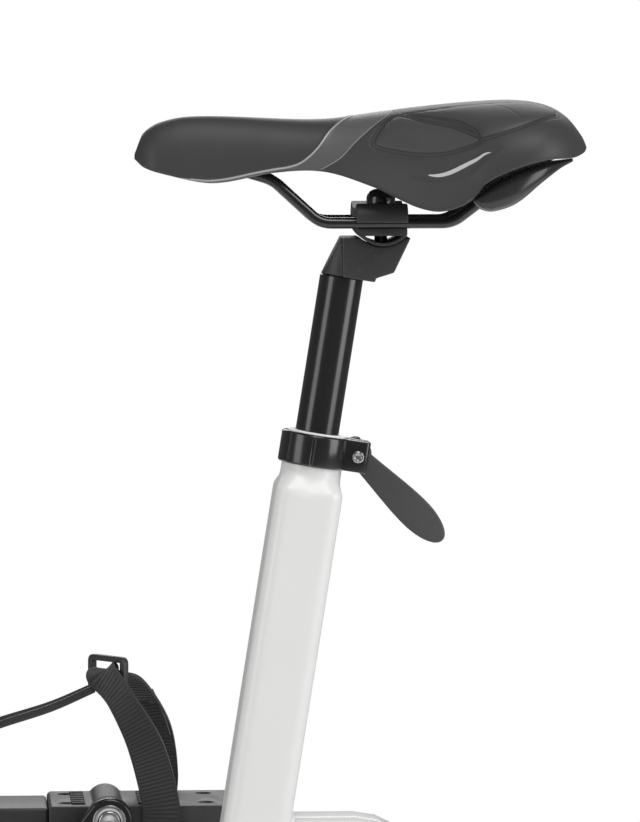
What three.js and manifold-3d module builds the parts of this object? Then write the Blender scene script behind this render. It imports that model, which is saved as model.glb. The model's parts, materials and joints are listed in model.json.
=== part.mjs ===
// Indoor exercise bike with a front flywheel, in millimetres.
// +X is the front of the bike, +Y the rider's left, +Z up. The origin is on the floor, under the middle.
import * as THREE from 'three';
import { mergeVertices } from 'three/addons/utils/BufferGeometryUtils.js';
import Module from 'manifold-3d';

const wasm = await Module();
wasm.setup();

// ---------------------------------------------------------------- driving dimensions
const DEG = Math.PI / 180;
const GAP = 0.3; // clearance between neighbours that touch

const HALF_LENGTH = 557; // from the middle to either end
const BRACKET = { x: -98, z: 283 }; // bottom bracket axis
const SEAT_TOP = { x: -326, z: 674 }; // centre of the seat collar's top face
const SEAT_LEAN = 9 * DEG; // seat tube leans back at the top
const MAST_FOOT = { x: 170, z: 430 }; // foot of the handlebar mast
const MAST_LEAN = 6 * DEG;
const SADDLE_CLAMP = { x: -366, z: 812 }; // axis that the saddle tilts about

const WALL = 2;
const BEAM = { height: 60, width: 50, corner: 10 };
const SEAT_TUBE = { depth: 42, width: 50, corner: 9, neck: 19, neckWall: 1.7 };
const STAY = { size: 40, corner: 8, top: 434.5, bendX: -349, bendRadius: 26, bendAngle: 70 * DEG };
const MAST = { size: 50, corner: 8, wall: 2.5, above: 200, below: 20 };
const STABILIZER = { size: 60, height: 40, corner: 8, base: 26, halfWidth: 247 };
const REAR_STABILIZER_X = -HALF_LENGTH + STABILIZER.size / 2;
const FRONT_STABILIZER_X = 440;
const FOOT = { radius: 22, height: 16, stem: 5, y: 218 };
const WHEEL = { radius: 30, width: 18, pin: 6, x: 452, z: 36 };

const FLYWHEEL = { radius: 190, rimWidth: 30, rimDepth: 40, web: 10, hub: 28, hubHalf: 22 };
const FLY_AXLE = { x: HALF_LENGTH - FLYWHEEL.radius, z: 300, radius: 6, halfWidth: 92, nut: 10 };
const LEG = { inner: 64, thickness: 16, width: 40, boss: 28 };
const CROWN = { x: 168, z: 440, size: 40 };

const BELT_Y = -47; // middle plane of the belt drive
const BELT = { width: 12, thickness: 3 };
const PULLEY = { big: 100, small: 25, width: 14 };
const GUARD = { inner: -31.3, outer: -60, wall: 2.5, margin: 16, plate: 2 };

const CRANK = { length: 170, inner: 74, thickness: 16, eye: 15, boss: 20, bossInner: 62 };
const CRANK_ANGLE = Math.atan2(137.5, -100); // right crank, from the bracket to the pedal
const CRANK_AXLE = 8.5;
const SHELL = { radius: 23, bore: 19.3, halfWidth: 34 };
const PEDAL = { front: 38, rear: 87, inner: 97, width: 78, top: 7, bottom: 15, barrel: 11, spindle: 6 };
const STRAP = { width: 24, thickness: 1.8 };

const POST = { radius: 13.6, wall: 2.6, top: 99.4, bottom: -210 };
const BUSH = { length: 60, flange: 1.5 };
const COLLAR = { wall: 2.45, height: 20, ear: 11, earEnd: 34, slot: 2.5 };
const SKEWER = { behind: 27, radius: 2.5, length: 30, nut: 3.8, cam: 9, camY: -20.5, pin: 3 };
const BLADE = { length: 79, belly: 10.3, root: 6.2, thickness: 5, head: 10.3 };
const RAIL = { radius: 3.5, y: 22, z: 806.5 };
const HEAD_ARC = 20; // radius that the cradle rocks on

const BAR = { radius: 14, halfWidth: 220, reach: 125, rise: 580, horn: 160, bend: 45, lift: 4, tip: 22 };
const HANDLE_POST = { size: 40, corner: 6, bottom: 22, top: 560 };
const KNOB_Z = 165;

const BRAKE_LEAN = 25 * DEG;
const BRAKE = { lift: 4, pad: 20, rod: 5, sleeveFrom: 262, sleeveTo: 300, knobFrom: 318, knobTo: 350 };

// ---------------------------------------------------------------- finishes
const finish = (color, roughness, metalness) =>
  new THREE.MeshStandardMaterial({ color, roughness, metalness });
const WHITE_PAINT = finish(0xe2e2e0, 0.4, 0.1);
const GREY_PAINT = finish(0xcfcfcd, 0.45, 0.1);
const BLACK_GLOSS = finish(0x0c0c0d, 0.22, 0.3);
const BLACK_PLASTIC = finish(0x2a2b2c, 0.55, 0);
const DARK_PLASTIC = finish(0x4a4c4b, 0.6, 0);
const WHITE_PLASTIC = finish(0xe8e8e6, 0.5, 0);
const VINYL = finish(0x515355, 0.6, 0);
const WEBBING = finish(0x1b1b1c, 0.9, 0);
const STEEL = finish(0xb9bbbd, 0.3, 0.9);
const CAST_IRON = finish(0x3a3b3d, 0.5, 0.7);
const RUBBER = finish(0x1e1e1f, 0.85, 0);

// ---------------------------------------------------------------- making and cutting solids
const move = (x, y, z) => new THREE.Matrix4().makeTranslation(x, y, z);
const leaning = (foot, lean) => move(foot.x, 0, foot.z).multiply(new THREE.Matrix4().makeRotationY(-lean));

function solid(geometry, matrix) {
  const bare = geometry.clone();
  bare.deleteAttribute('normal');
  bare.deleteAttribute('uv');
  if (matrix) bare.applyMatrix4(matrix);
  const merged = mergeVertices(bare, 1e-4);
  const mesh = new wasm.Mesh({
    numProp: 3,
    vertProperties: new Float32Array(merged.attributes.position.array),
    triVerts: new Uint32Array(merged.index.array),
  });
  mesh.merge();
  return new wasm.Manifold(mesh);
}

function geometryOf(body) {
  const mesh = body.getMesh();
  const geometry = new THREE.BufferGeometry();
  geometry.setAttribute('position', new THREE.BufferAttribute(new Float32Array(mesh.vertProperties), 3));
  geometry.setIndex(new THREE.BufferAttribute(new Uint32Array(mesh.triVerts), 1));
  geometry.computeVertexNormals();
  return geometry;
}

const join = (first, ...others) => others.reduce((sum, other) => sum.add(other), first);
const cut = (body, ...tools) => tools.reduce((rest, tool) => rest.subtract(tool), body);

// A closed skin over rings of points that all have the same count; both ends are capped.
function loft(rings) {
  const count = rings[0].length;
  const positions = rings.flat().flatMap((p) => [p.x, p.y, p.z]);
  const faces = [];
  for (let i = 0; i + 1 < rings.length; i += 1) {
    for (let j = 0; j < count; j += 1) {
      const a = i * count + j;
      const b = i * count + ((j + 1) % count);
      faces.push(a, b, b + count, a, b + count, a + count);
    }
  }
  cap(rings[0], 0, true);
  cap(rings[rings.length - 1], (rings.length - 1) * count, false);
  const geometry = new THREE.BufferGeometry();
  geometry.setAttribute('position', new THREE.Float32BufferAttribute(positions, 3));
  geometry.setIndex(facingOut(positions, faces));
  return geometry;

  function cap(ring, start, reversed) {
    const across = ring[0].clone().sub(ring[Math.floor(count / 2)]).normalize();
    const normal = new THREE.Vector3();
    ring.forEach((p, j) => normal.add(p.clone().cross(ring[(j + 1) % count])));
    normal.normalize();
    across.addScaledVector(normal, -across.dot(normal)).normalize();
    const up = normal.clone().cross(across);
    const flat = ring.map((p) => new THREE.Vector2(p.dot(across), p.dot(up)));
    for (const [a, b, c] of THREE.ShapeUtils.triangulateShape(flat, [])) {
      if (reversed) faces.push(start + a, start + c, start + b);
      else faces.push(start + a, start + b, start + c);
    }
  }
}

function facingOut(positions, faces) {
  const point = (i) => new THREE.Vector3(...positions.slice(3 * i, 3 * i + 3));
  let volume = 0;
  for (let i = 0; i < faces.length; i += 3) {
    volume += point(faces[i]).dot(point(faces[i + 1]).cross(point(faces[i + 2])));
  }
  if (volume > 0) return faces;
  return faces.map((_, i) => faces[i - (i % 3) + [0, 2, 1][i % 3]]);
}

// The mirror image across the bike's middle plane.
function mirrored(geometry) {
  const copy = geometry.index ? geometry.toNonIndexed() : geometry.clone();
  const position = copy.attributes.position;
  for (let i = 0; i < position.count; i += 3) {
    const [x, y, z] = [position.getX(i + 1), position.getY(i + 1), position.getZ(i + 1)];
    position.setXYZ(i + 1, position.getX(i + 2), position.getY(i + 2), position.getZ(i + 2));
    position.setXYZ(i + 2, x, y, z);
  }
  copy.deleteAttribute('normal');
  copy.deleteAttribute('uv');
  copy.applyMatrix4(new THREE.Matrix4().makeScale(1, -1, 1));
  copy.computeVertexNormals();
  return copy;
}

// ---------------------------------------------------------------- basic forms
function roundedRect(width, height, corner) {
  const [w, h] = [width / 2 - corner, height / 2 - corner];
  const shape = new THREE.Shape();
  shape.absarc(w, h, corner, 0, Math.PI / 2);
  shape.absarc(-w, h, corner, Math.PI / 2, Math.PI);
  shape.absarc(-w, -h, corner, Math.PI, 1.5 * Math.PI);
  shape.absarc(w, -h, corner, 1.5 * Math.PI, 2 * Math.PI);
  shape.closePath();
  return shape;
}

// The outline round two circles and the tangents between them.
function beltOutline(a, b, ra, rb) {
  const along = Math.atan2(b.z - a.z, b.x - a.x);
  const spread = Math.acos((ra - rb) / Math.hypot(b.x - a.x, b.z - a.z));
  const shape = new THREE.Shape();
  shape.absarc(a.x, a.z, ra, along + spread, along - spread + 2 * Math.PI);
  shape.absarc(b.x, b.z, rb, along - spread, along + spread);
  shape.closePath();
  return shape;
}

// Extrusion of an X-Z outline along Y, from y0 to y1.
function plateY(shape, y0, y1, curveSegments = 6) {
  const geometry = new THREE.ExtrudeGeometry(shape, { depth: y1 - y0, bevelEnabled: false, curveSegments });
  return geometry.rotateX(Math.PI / 2).translate(0, y1, 0);
}

// Extrusion of an X-Y outline along Z, from z0 to z1.
function barZ(shape, z0, z1, curveSegments = 2) {
  const geometry = new THREE.ExtrudeGeometry(shape, { depth: z1 - z0, bevelEnabled: false, curveSegments });
  return geometry.translate(0, 0, z0);
}

const box = (x0, x1, y0, y1, z0, z1) =>
  new THREE.BoxGeometry(x1 - x0, y1 - y0, z1 - z0).translate((x0 + x1) / 2, (y0 + y1) / 2, (z0 + z1) / 2);
const rodY = (radius, y0, y1, segments = 16) =>
  new THREE.CylinderGeometry(radius, radius, y1 - y0, segments).translate(0, (y0 + y1) / 2, 0);
const rodZ = (radius, z0, z1, segments = 16) =>
  new THREE.CylinderGeometry(radius, radius, z1 - z0, segments).rotateX(Math.PI / 2)
    .translate(0, 0, (z0 + z1) / 2);

// A turned piece: the profile is a list of [radius, height] pairs. The axis is Y, or Z.
const turnedY = (profile, segments = 16) =>
  new THREE.LatheGeometry(profile.map(([r, y]) => new THREE.Vector2(r, y)), segments);
const turnedZ = (profile, segments = 16) => turnedY(profile, segments).rotateX(Math.PI / 2);
const ring = (inner, outer, low, high) =>
  [[inner, low], [outer, low], [outer, high], [inner, high], [inner, low]];

// A path of straight runs joined by soft bends.
function bentPath(points, bend) {
  const path = new THREE.CurvePath();
  const corners = points.map((p) => new THREE.Vector3(...p));
  let from = corners[0];
  for (let i = 1; i + 1 < corners.length; i += 1) {
    const into = corners[i - 1].clone().sub(corners[i]).setLength(bend).add(corners[i]);
    const out = corners[i + 1].clone().sub(corners[i]).setLength(bend).add(corners[i]);
    path.add(new THREE.LineCurve3(from, into));
    path.add(new THREE.QuadraticBezierCurve3(into, corners[i], out));
    from = out;
  }
  path.add(new THREE.LineCurve3(from, corners[corners.length - 1]));
  return path;
}

function tubeAlong(path, radius, sides, steps) {
  const circle = new THREE.Shape(Array.from({ length: sides }, (_, i) => {
    const turn = (2 * Math.PI * i) / sides;
    return new THREE.Vector2(radius * Math.cos(turn), radius * Math.sin(turn));
  }));
  return new THREE.ExtrudeGeometry(circle, { steps, extrudePath: path, bevelEnabled: false });
}

// A smooth value through [place, value] pairs in falling order of place.
function profile(pairs) {
  return (s) => {
    const last = pairs.length - 1;
    let i = pairs.findIndex(([place]) => place <= s);
    i = i < 0 ? last : Math.max(i, 1);
    const at = (k) => pairs[Math.min(Math.max(k, 0), last)];
    const [[s0, v0], [s1, v1]] = [at(i - 1), at(i)];
    const slope = (k) => (at(k + 1)[1] - at(k - 1)[1]) / (at(k + 1)[0] - at(k - 1)[0]);
    const t = (s - s0) / (s1 - s0);
    const [m0, m1] = [slope(i - 1) * (s1 - s0), slope(i) * (s1 - s0)];
    return v0 * (2 * t ** 3 - 3 * t ** 2 + 1) + m0 * (t ** 3 - 2 * t ** 2 + t)
      + v1 * (3 * t ** 2 - 2 * t ** 3) + m1 * (t ** 3 - t ** 2);
  };
}

// ---------------------------------------------------------------- frame
const beamAngle = Math.atan2(BRACKET.z - STABILIZER.base - STABILIZER.height / 2,
  BRACKET.x - REAR_STABILIZER_X);
const BEAM_FRAME = leaning(BRACKET, beamAngle);
const SEAT_FRAME = leaning(SEAT_TOP, SEAT_LEAN);
const MAST_FRAME = leaning(MAST_FOOT, MAST_LEAN);
const inFrame = (frame, matrix) => frame.clone().invert().multiply(matrix);

// Envelopes that neighbours are trimmed by, each with the touching gap added.
const beamEnvelope = (matrix) => {
  const [h, w] = [BEAM.height / 2 + GAP, BEAM.width / 2 + GAP];
  return solid(box(-600, 420, -w, w, -h, h), matrix);
};
const mastEnvelope = (matrix) => {
  const half = MAST.size / 2 + GAP;
  return solid(box(-half, half, -half, half, -MAST.below - GAP, MAST.above + GAP), matrix);
};
const crownEnvelope = (matrix) => {
  const half = CROWN.size / 2 + GAP;
  return solid(box(-half, half, -LEG.inner, LEG.inner, -half, half), matrix);
};
const seatTubeEnvelope = (matrix) => {
  const [d, w] = [SEAT_TUBE.depth / 2 + GAP, SEAT_TUBE.width / 2 + GAP];
  return solid(box(-d, d, -w, w, -600, -50), matrix);
};

function mainBeam() {
  const shape = roundedRect(BEAM.height, BEAM.width, BEAM.corner);
  shape.holes.push(roundedRect(BEAM.height - 2 * WALL, BEAM.width - 2 * WALL, BEAM.corner - WALL));
  const rear = -(BRACKET.x - REAR_STABILIZER_X) / Math.cos(beamAngle) - 12;
  const front = (MAST_FOOT.x - BRACKET.x) / Math.cos(beamAngle) + 8;
  const tube = barZ(shape, rear, front).rotateY(Math.PI / 2);
  const shellOutside = solid(rodY(SHELL.radius, -SHELL.halfWidth, SHELL.halfWidth, 20));
  const shellBore = solid(rodY(SHELL.bore, -50, 50, 20));
  const stabilizer = solid(box(-STABILIZER.size / 2 - GAP, STABILIZER.size, -60, 60, -60, GAP)
    .translate(REAR_STABILIZER_X, 0, STABILIZER.base + STABILIZER.height), BEAM_FRAME.clone().invert());
  return geometryOf(cut(
    join(solid(tube), shellOutside),
    shellBore,
    stabilizer,
    mastEnvelope(inFrame(BEAM_FRAME, MAST_FRAME)),
    crownEnvelope(inFrame(BEAM_FRAME, move(CROWN.x, 0, CROWN.z))),
  ));
}

// A section that turns from the rounded rectangle (t = 0) into the round neck (t = 1).
function seatTubeRing(z, t, inset) {
  const [halfDepth, halfWidth] = [SEAT_TUBE.depth / 2 - inset, SEAT_TUBE.width / 2 - inset];
  const corner = SEAT_TUBE.corner - inset;
  const neck = SEAT_TUBE.neck - (inset > 0 ? SEAT_TUBE.neckWall : 0);
  const steps = 5;
  const points = [];
  for (const [quarter, sx, sy] of [[0, 1, 1], [1, -1, 1], [2, -1, -1], [3, 1, -1]]) {
    for (let i = 0; i <= steps; i += 1) {
      const turn = (quarter + i / steps) * (Math.PI / 2);
      const even = (quarter + (i + 0.5) / (steps + 1)) * (Math.PI / 2);
      const x = sx * (halfDepth - corner) + corner * Math.cos(turn);
      const y = sy * (halfWidth - corner) + corner * Math.sin(turn);
      points.push(new THREE.Vector3(
        x + (neck * Math.cos(even) - x) * t,
        y + (neck * Math.sin(even) - y) * t,
        z,
      ));
    }
  }
  return points;
}

const NECK_FROM = -COLLAR.height - 20; // where the square tube starts to be squeezed
const NECK_TO = -COLLAR.height - 2; // where it is round
const TUBE_RIM = -0.8; // the tube's rim, just under the collar's top face

// The distance down the seat tube's axis from the collar to the middle of the beam.
function seatToBeam() {
  const lean = Math.tan(beamAngle);
  const drop = SEAT_TOP.z - BRACKET.z - (SEAT_TOP.x - BRACKET.x) * lean;
  return drop / (Math.cos(SEAT_LEAN) + Math.sin(SEAT_LEAN) * lean);
}

function seatTube() {
  const middle = (NECK_FROM + NECK_TO) / 2;
  const foot = -seatToBeam();
  const outside = [[foot, 0], [NECK_FROM, 0], [middle, 0.55], [NECK_TO, 1], [TUBE_RIM, 1]];
  const inside = [[foot - 40, 0], [NECK_FROM, 0], [middle, 0.55], [NECK_TO, 1], [TUBE_RIM + 5, 1]];
  return geometryOf(cut(
    solid(loft(outside.map(([z, t]) => seatTubeRing(z, t, 0)))),
    solid(loft(inside.map(([z, t]) => seatTubeRing(z, t, WALL)))),
    beamEnvelope(inFrame(SEAT_FRAME, BEAM_FRAME)),
  ));
}

function rearStay() {
  const { size, corner, top, bendX, bendRadius, bendAngle } = STAY;
  const z = top - size / 2;
  const stations = [[bendX + 80, z, 0]];
  const bends = 4;
  for (let i = 0; i <= bends; i += 1) {
    const turn = (bendAngle * i) / bends;
    stations.push([bendX - bendRadius * Math.sin(turn), z - bendRadius * (1 - Math.cos(turn)), turn]);
  }
  const [x1, z1] = stations[stations.length - 1];
  const run = 360;
  stations.push([x1 - run * Math.cos(bendAngle), z1 - run * Math.sin(bendAngle), bendAngle]);
  const section = (half, r) => roundedRect(2 * half, 2 * half, r).extractPoints(2).shape.slice(0, -1);
  const rings = (half, r) => stations.map(([x, zc, turn]) => section(half, r).map((p) =>
    new THREE.Vector3(x - p.x * Math.sin(turn), p.y, zc + p.x * Math.cos(turn))));
  return geometryOf(cut(
    solid(loft(rings(size / 2, corner))),
    solid(loft(rings(size / 2 - WALL, corner - WALL)
      .map((points, i, all) => {
        if (i === 0) return points.map((p) => p.clone().add(new THREE.Vector3(10, 0, 0)));
        if (i < all.length - 1) return points;
        const away = new THREE.Vector3(-Math.cos(bendAngle), 0, -Math.sin(bendAngle));
        return points.map((p) => p.clone().addScaledVector(away, 10));
      }))),
    beamEnvelope(BEAM_FRAME),
    solid(box(-900, 900, -60, 60, -400, -BEAM.height / 2), BEAM_FRAME),
    seatTubeEnvelope(SEAT_FRAME),
    solid(box(0, 200, -60, 60, -600, 0), SEAT_FRAME),
  ));
}

function stabilizer(wheelPins) {
  const { size, height, corner, base, halfWidth } = STABILIZER;
  const across = (half, inset) => {
    const shape = roundedRect(size - 2 * inset, height - 2 * inset, corner - inset);
    return solid(plateY(shape, -half, half, 2), move(0, 0, base + height / 2));
  };
  const holes = [-FOOT.y, FOOT.y].map((y) =>
    solid(rodZ(FOOT.stem + GAP, base - 5, base + 5, 16), move(0, y, 0)));
  let bar = cut(across(halfWidth, 0), across(halfWidth - 3, WALL), ...holes);
  if (wheelPins) {
    for (const side of [-1, 1]) {
      const pin = rodY(WHEEL.pin, halfWidth - 2, halfWidth + WHEEL.width + 4, 16);
      const placed = side > 0 ? pin : mirrored(pin);
      bar = join(bar, solid(placed, move(WHEEL.x - FRONT_STABILIZER_X, 0, WHEEL.z)));
    }
  }
  return geometryOf(bar);
}

function levellingFoot() {
  const { radius, height, stem } = FOOT;
  return turnedZ([
    [0, 0], [radius, 0], [radius, height * 0.6], [radius * 0.6, height],
    [stem, height], [stem, height + 30], [0, height + 30],
  ]);
}

function transportWheel() {
  const [inner, outer] = [STABILIZER.halfWidth + 1, STABILIZER.halfWidth + 1 + WHEEL.width];
  return turnedY([
    [WHEEL.pin + GAP, inner], [WHEEL.radius - 3, inner], [WHEEL.radius, inner + 4],
    [WHEEL.radius, outer - 4], [WHEEL.radius - 3, outer], [WHEEL.pin + GAP, outer],
    [WHEEL.pin + GAP, inner],
  ]);
}

// The mast tube with the crown bar that the fork legs are welded to.
function headTube() {
  const shape = roundedRect(MAST.size, MAST.size, MAST.corner);
  const bore = roundedRect(MAST.size - 2 * MAST.wall, MAST.size - 2 * MAST.wall, MAST.corner - MAST.wall);
  const crown = box(-CROWN.size / 2, CROWN.size / 2, -LEG.inner + GAP, LEG.inner - GAP,
    -CROWN.size / 2, CROWN.size / 2);
  const pinHole = solid(rodZ(5 + GAP, -40, 0, 16).rotateY(Math.PI / 2), move(0, 0, KNOB_Z));
  return geometryOf(cut(
    join(
      solid(barZ(shape, -MAST.below, MAST.above)),
      solid(crown, inFrame(MAST_FRAME, move(CROWN.x, 0, CROWN.z))),
    ),
    solid(barZ(bore, -MAST.below - 5, MAST.above + 5)),
    pinHole,
  ));
}

function forkLeg() {
  const { inner, thickness, width, boss } = LEG;
  const [y0, y1] = [inner, inner + thickness];
  const run = (a, b) => {
    const length = Math.hypot(b.x - a.x, b.z - a.z);
    const turn = new THREE.Matrix4().makeRotationY(-Math.atan2(b.z - a.z, b.x - a.x));
    return solid(box(0, length, y0, y1, -width / 2, width / 2), move(a.x, 0, a.z).multiply(turn));
  };
  const disc = (at, radius) => solid(rodY(radius, y0, y1, 20), move(at.x, 0, at.z));
  const foot = { x: FRONT_STABILIZER_X, z: STABILIZER.base };
  const floor = STABILIZER.base + STABILIZER.height + GAP;
  return geometryOf(cut(
    join(run(CROWN, FLY_AXLE), run(FLY_AXLE, foot), disc(CROWN, width / 2 + 6), disc(FLY_AXLE, boss)),
    solid(rodY(FLY_AXLE.radius + GAP, 0, 200, 20), move(FLY_AXLE.x, 0, FLY_AXLE.z)),
    solid(box(0, 900, 0, 200, -100, floor)),
  ));
}

// ---------------------------------------------------------------- seat post, collar and lever
function seatBush() {
  const inner = POST.radius + GAP;
  const rim = TUBE_RIM + GAP;
  const [outer, flange] = [SEAT_TUBE.neck - SEAT_TUBE.neckWall - GAP, SEAT_TUBE.neck - 0.5];
  return turnedZ([
    [inner, -BUSH.length], [outer, -BUSH.length], [outer, rim], [flange, rim],
    [flange, rim + BUSH.flange], [inner, rim + BUSH.flange], [inner, -BUSH.length],
  ], 24);
}

function seatCollar() {
  const { wall, height, ear, earEnd, slot } = COLLAR;
  const inner = SEAT_TUBE.neck + GAP;
  const band = turnedZ(ring(inner, inner + wall, -height, 0), 32);
  const ears = box(-earEnd, -SEAT_TUBE.neck + 3, -ear, ear, -height, 0);
  const across = move(-SKEWER.behind, 0, -height / 2);
  const skewer = solid(rodY(SKEWER.radius + 0.5, -SKEWER.length, SKEWER.length, 16), across);
  const nutSeat = solid(rodY(SKEWER.nut + GAP, 6, SKEWER.length, 16), across);
  return geometryOf(cut(
    join(solid(band), solid(ears)),
    solid(rodZ(inner, -50, 10, 32)),
    solid(box(-60, -10, -slot / 2, slot / 2, -50, 10)),
    skewer,
    nutSeat,
  ));
}

// The lever frame: origin on the cam pin, +X along the closed blade, +Y the bike's +Y.
const LEVER_DROP = 45 * DEG; // the closed blade points this far below the level, to the rear
const leverMatrix = move(-SKEWER.behind, SKEWER.camY, -COLLAR.height / 2)
  .multiply(new THREE.Matrix4().makeRotationY(Math.PI - LEVER_DROP + SEAT_LEAN));

function skewerRod() {
  const rod = solid(rodY(SKEWER.radius, 0, SKEWER.length, 16));
  const pin = solid(rodZ(SKEWER.pin, -SKEWER.cam + 1, SKEWER.cam - 1, 16));
  return geometryOf(join(rod, pin));
}

function skewerNut() {
  const y = -SKEWER.camY;
  return turnedY([
    [SKEWER.radius + 0.4, y + 6.4], [SKEWER.nut, y + 6.4], [SKEWER.nut, y + 12.5], [0, y + 12.5],
    [0, y + 10.2], [SKEWER.radius + 0.4, y + 10.2], [SKEWER.radius + 0.4, y + 6.4],
  ]);
}

function quickLever() {
  const { cam, pin, radius } = SKEWER;
  const outline = new THREE.Shape();
  const { length, belly, root, thickness, head } = BLADE;
  outline.moveTo(0, -root);
  outline.bezierCurveTo(0.25 * length, -root - 1, 0.48 * length, -belly, 0.68 * length, -belly);
  outline.bezierCurveTo(0.85 * length, -belly, length, -0.6 * belly, length, 0);
  outline.bezierCurveTo(length, 0.6 * belly, 0.85 * length, belly, 0.68 * length, belly);
  outline.bezierCurveTo(0.48 * length, belly, 0.25 * length, root + 1, 0, root);
  outline.closePath();
  const roundHead = solid(rodY(head, -cam, cam, 24));
  // Behind the pin the head stays near it, so that it clears the collar's ear and band as it swings.
  const clear = -SKEWER.camY - COLLAR.ear - GAP;
  const narrow = cam - 0.5;
  const swept = join(solid(rodZ(clear, -narrow, narrow, 32)), solid(box(1.5, 20, -20, 20, -20, 20)));
  return geometryOf(cut(
    join(
      solid(rodZ(cam, -cam, cam, 20)).intersect(roundHead),
      solid(rodY(head, -cam, -cam + thickness, 24)).intersect(swept),
      solid(plateY(outline, -cam, -cam + thickness, 6)),
    ),
    solid(rodZ(pin + GAP, -20, 20, 16)),
    solid(box(-20, radius + 0.9, -20, 20, -radius - 0.5, radius + 0.5)),
    solid(box(-20, 20, -radius - 0.5, 20, -radius - 0.5, radius + 0.5)),
  ));
}

function postHead() {
  // Side outline of the flat cheeks round the tilt axis: from the front foot to the rear nose and up.
  const outlineOf = (points) => new THREE.Shape(points.map(([x, z]) => new THREE.Vector2(x, z)));
  const cheeks = outlineOf([[25, -50], [6, -50], [4.3, -40.3], [-7, -36.8], [-17.5, -15], [25, -15]]);
  const underSlope = outlineOf([[-30, -80], [60, -80], [25, -15], [-30, -15]]);
  const seat = inFrame(move(SADDLE_CLAMP.x, 0, SADDLE_CLAMP.z), SEAT_FRAME);
  const neck = solid(rodZ(POST.radius, POST.top - 10, POST.top + 60, 32), seat)
    .intersect(solid(plateY(underSlope, -40, 40)));
  const shank = solid(box(-8, 8, -4.8, 4.8, -60, 0));
  const nutRoom = solid(box(-11, 11, -8, 8, -60, -27));
  return geometryOf(cut(
    join(solid(plateY(cheeks, -19, 19)), neck),
    solid(box(-90, 90, -40, 40, POST.top - 60, POST.top + GAP), seat),
    solid(rodY(HEAD_ARC + 0.5, -40, 40, 32)),
    shank,
    nutRoom,
  ));
}

const RAIL_DROP = RAIL.z - SADDLE_CLAMP.z;
const railGrooves = () => [-RAIL.y, RAIL.y].map((y) =>
  solid(rodZ(RAIL.radius + GAP, -60, 60, 16).rotateY(Math.PI / 2), move(0, y, RAIL_DROP)));
const boltHole = () => solid(rodZ(4.3, -60, 60, 16));

function lowerCradle() {
  const half = RAIL.y + 1.5;
  const block = solid(box(-15, 16.5, -half, half, -30, RAIL_DROP - 0.4));
  const rocker = solid(rodY(HEAD_ARC, -half - 5, half + 5, 32));
  const window = solid(box(-11.4, 11.2, -60, 60, -30, RAIL_DROP - 8.1))
    .intersect(solid(rodY(HEAD_ARC - 2, -60, 60, 32)));
  return geometryOf(cut(block.intersect(rocker), ...railGrooves(), boltHole(), window));
}

function upperClamp() {
  const barrel = RAIL.radius + 5.5;
  const outline = new THREE.Shape();
  outline.moveTo(-RAIL.y - barrel, RAIL_DROP + 0.4);
  outline.lineTo(-RAIL.y - barrel, RAIL_DROP + 3);
  outline.absarc(-RAIL.y, RAIL_DROP + 3, barrel, Math.PI, Math.PI / 2, true);
  outline.lineTo(-12, RAIL_DROP + 9);
  outline.lineTo(12, RAIL_DROP + 9);
  outline.lineTo(RAIL.y, RAIL_DROP + 3 + barrel);
  outline.absarc(RAIL.y, RAIL_DROP + 3, barrel, Math.PI / 2, 0, true);
  outline.lineTo(RAIL.y + barrel, RAIL_DROP + 0.4);
  const length = 32;
  const block = new THREE.ExtrudeGeometry(outline, { depth: length, bevelEnabled: false, curveSegments: 5 });
  const along = new THREE.Matrix4().makeBasis(
    new THREE.Vector3(0, 1, 0),
    new THREE.Vector3(0, 0, 1),
    new THREE.Vector3(1, 0, 0),
  );
  const placed = solid(block, move(1 - length / 2, 0, 0).multiply(along));
  return geometryOf(cut(placed, ...railGrooves(), boltHole()));
}

function clampBolt() {
  const seat = RAIL_DROP + 9 + GAP;
  return turnedZ([
    [0, -34], [6, -34], [6, -28], [4, -28], [4, seat], [9, seat], [9, seat + 6], [7, seat + 9.5],
    [0, seat + 11.2],
  ]);
}

// ---------------------------------------------------------------- saddle
// Heights are above the floor; the place s runs from the clamp towards the nose.
const topLine = profile([[154, 848], [148, 862], [133, 870], [110, 872.4], [50, 870.4], [30, 871],
  [5, 874.5], [-32, 879], [-62, 881.5], [-85, 882], [-103, 879], [-115, 872], [-124, 861], [-128.5, 853]]);
const edgeLine = profile([[154, 846], [148, 840.6], [133, 836], [111, 831.5], [97, 832], [67, 837.8],
  [37, 838.4], [8, 829.6], [-6, 823], [-20, 817], [-32, 815], [-44, 818], [-53, 824], [-60, 832.5],
  [-79, 841.8], [-98, 847], [-116, 848], [-128.5, 852]]);
const halfWidth = profile([[154, 3], [149, 12], [141, 18], [116, 21], [76, 24], [36, 29], [6, 42],
  [-24, 60], [-54, 73], [-79, 78], [-99, 74], [-114, 60], [-124, 36], [-128.5, 5]]);
const PAD = { side: 6, crown: 18, sharpness: 2.3, steps: 5 };
const padPlaces = [153.5, 149, 140, 112, 68, 36, 12, -8, -24, -40, -54, -66, -82, -99, -114, -123, -128];

const arch = (w, low, high, sharpness) => Array.from({ length: 2 * PAD.steps + 1 }, (_, i) => {
  const turn = (Math.PI * i) / (2 * PAD.steps);
  const lift = Math.sin(turn) ** (2 / sharpness);
  const side = Math.sign(Math.cos(turn)) * Math.abs(Math.cos(turn)) ** (2 / sharpness);
  return [w * side, low + (high - low) * lift];
});

// A saddle layer between two arches that are inset from the outer skin.
function saddleLayer(places, outerInset, innerInset) {
  const rings = places.map((s) => {
    const [w, low, high] = [halfWidth(s), edgeLine(s), topLine(s)];
    const room = Math.min(1, w / 22);
    const skin = ([side, crown]) => arch(
      Math.max(w - side * room, 1),
      low,
      Math.max(high - crown * Math.min(room, (high - low) / 34), low + 1),
      PAD.sharpness,
    );
    const outline = [...skin(outerInset), ...skin(innerInset).reverse()];
    return outline.map(([y, z]) => new THREE.Vector3(SADDLE_CLAMP.x + s, y, z));
  });
  return loft(rings);
}

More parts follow.
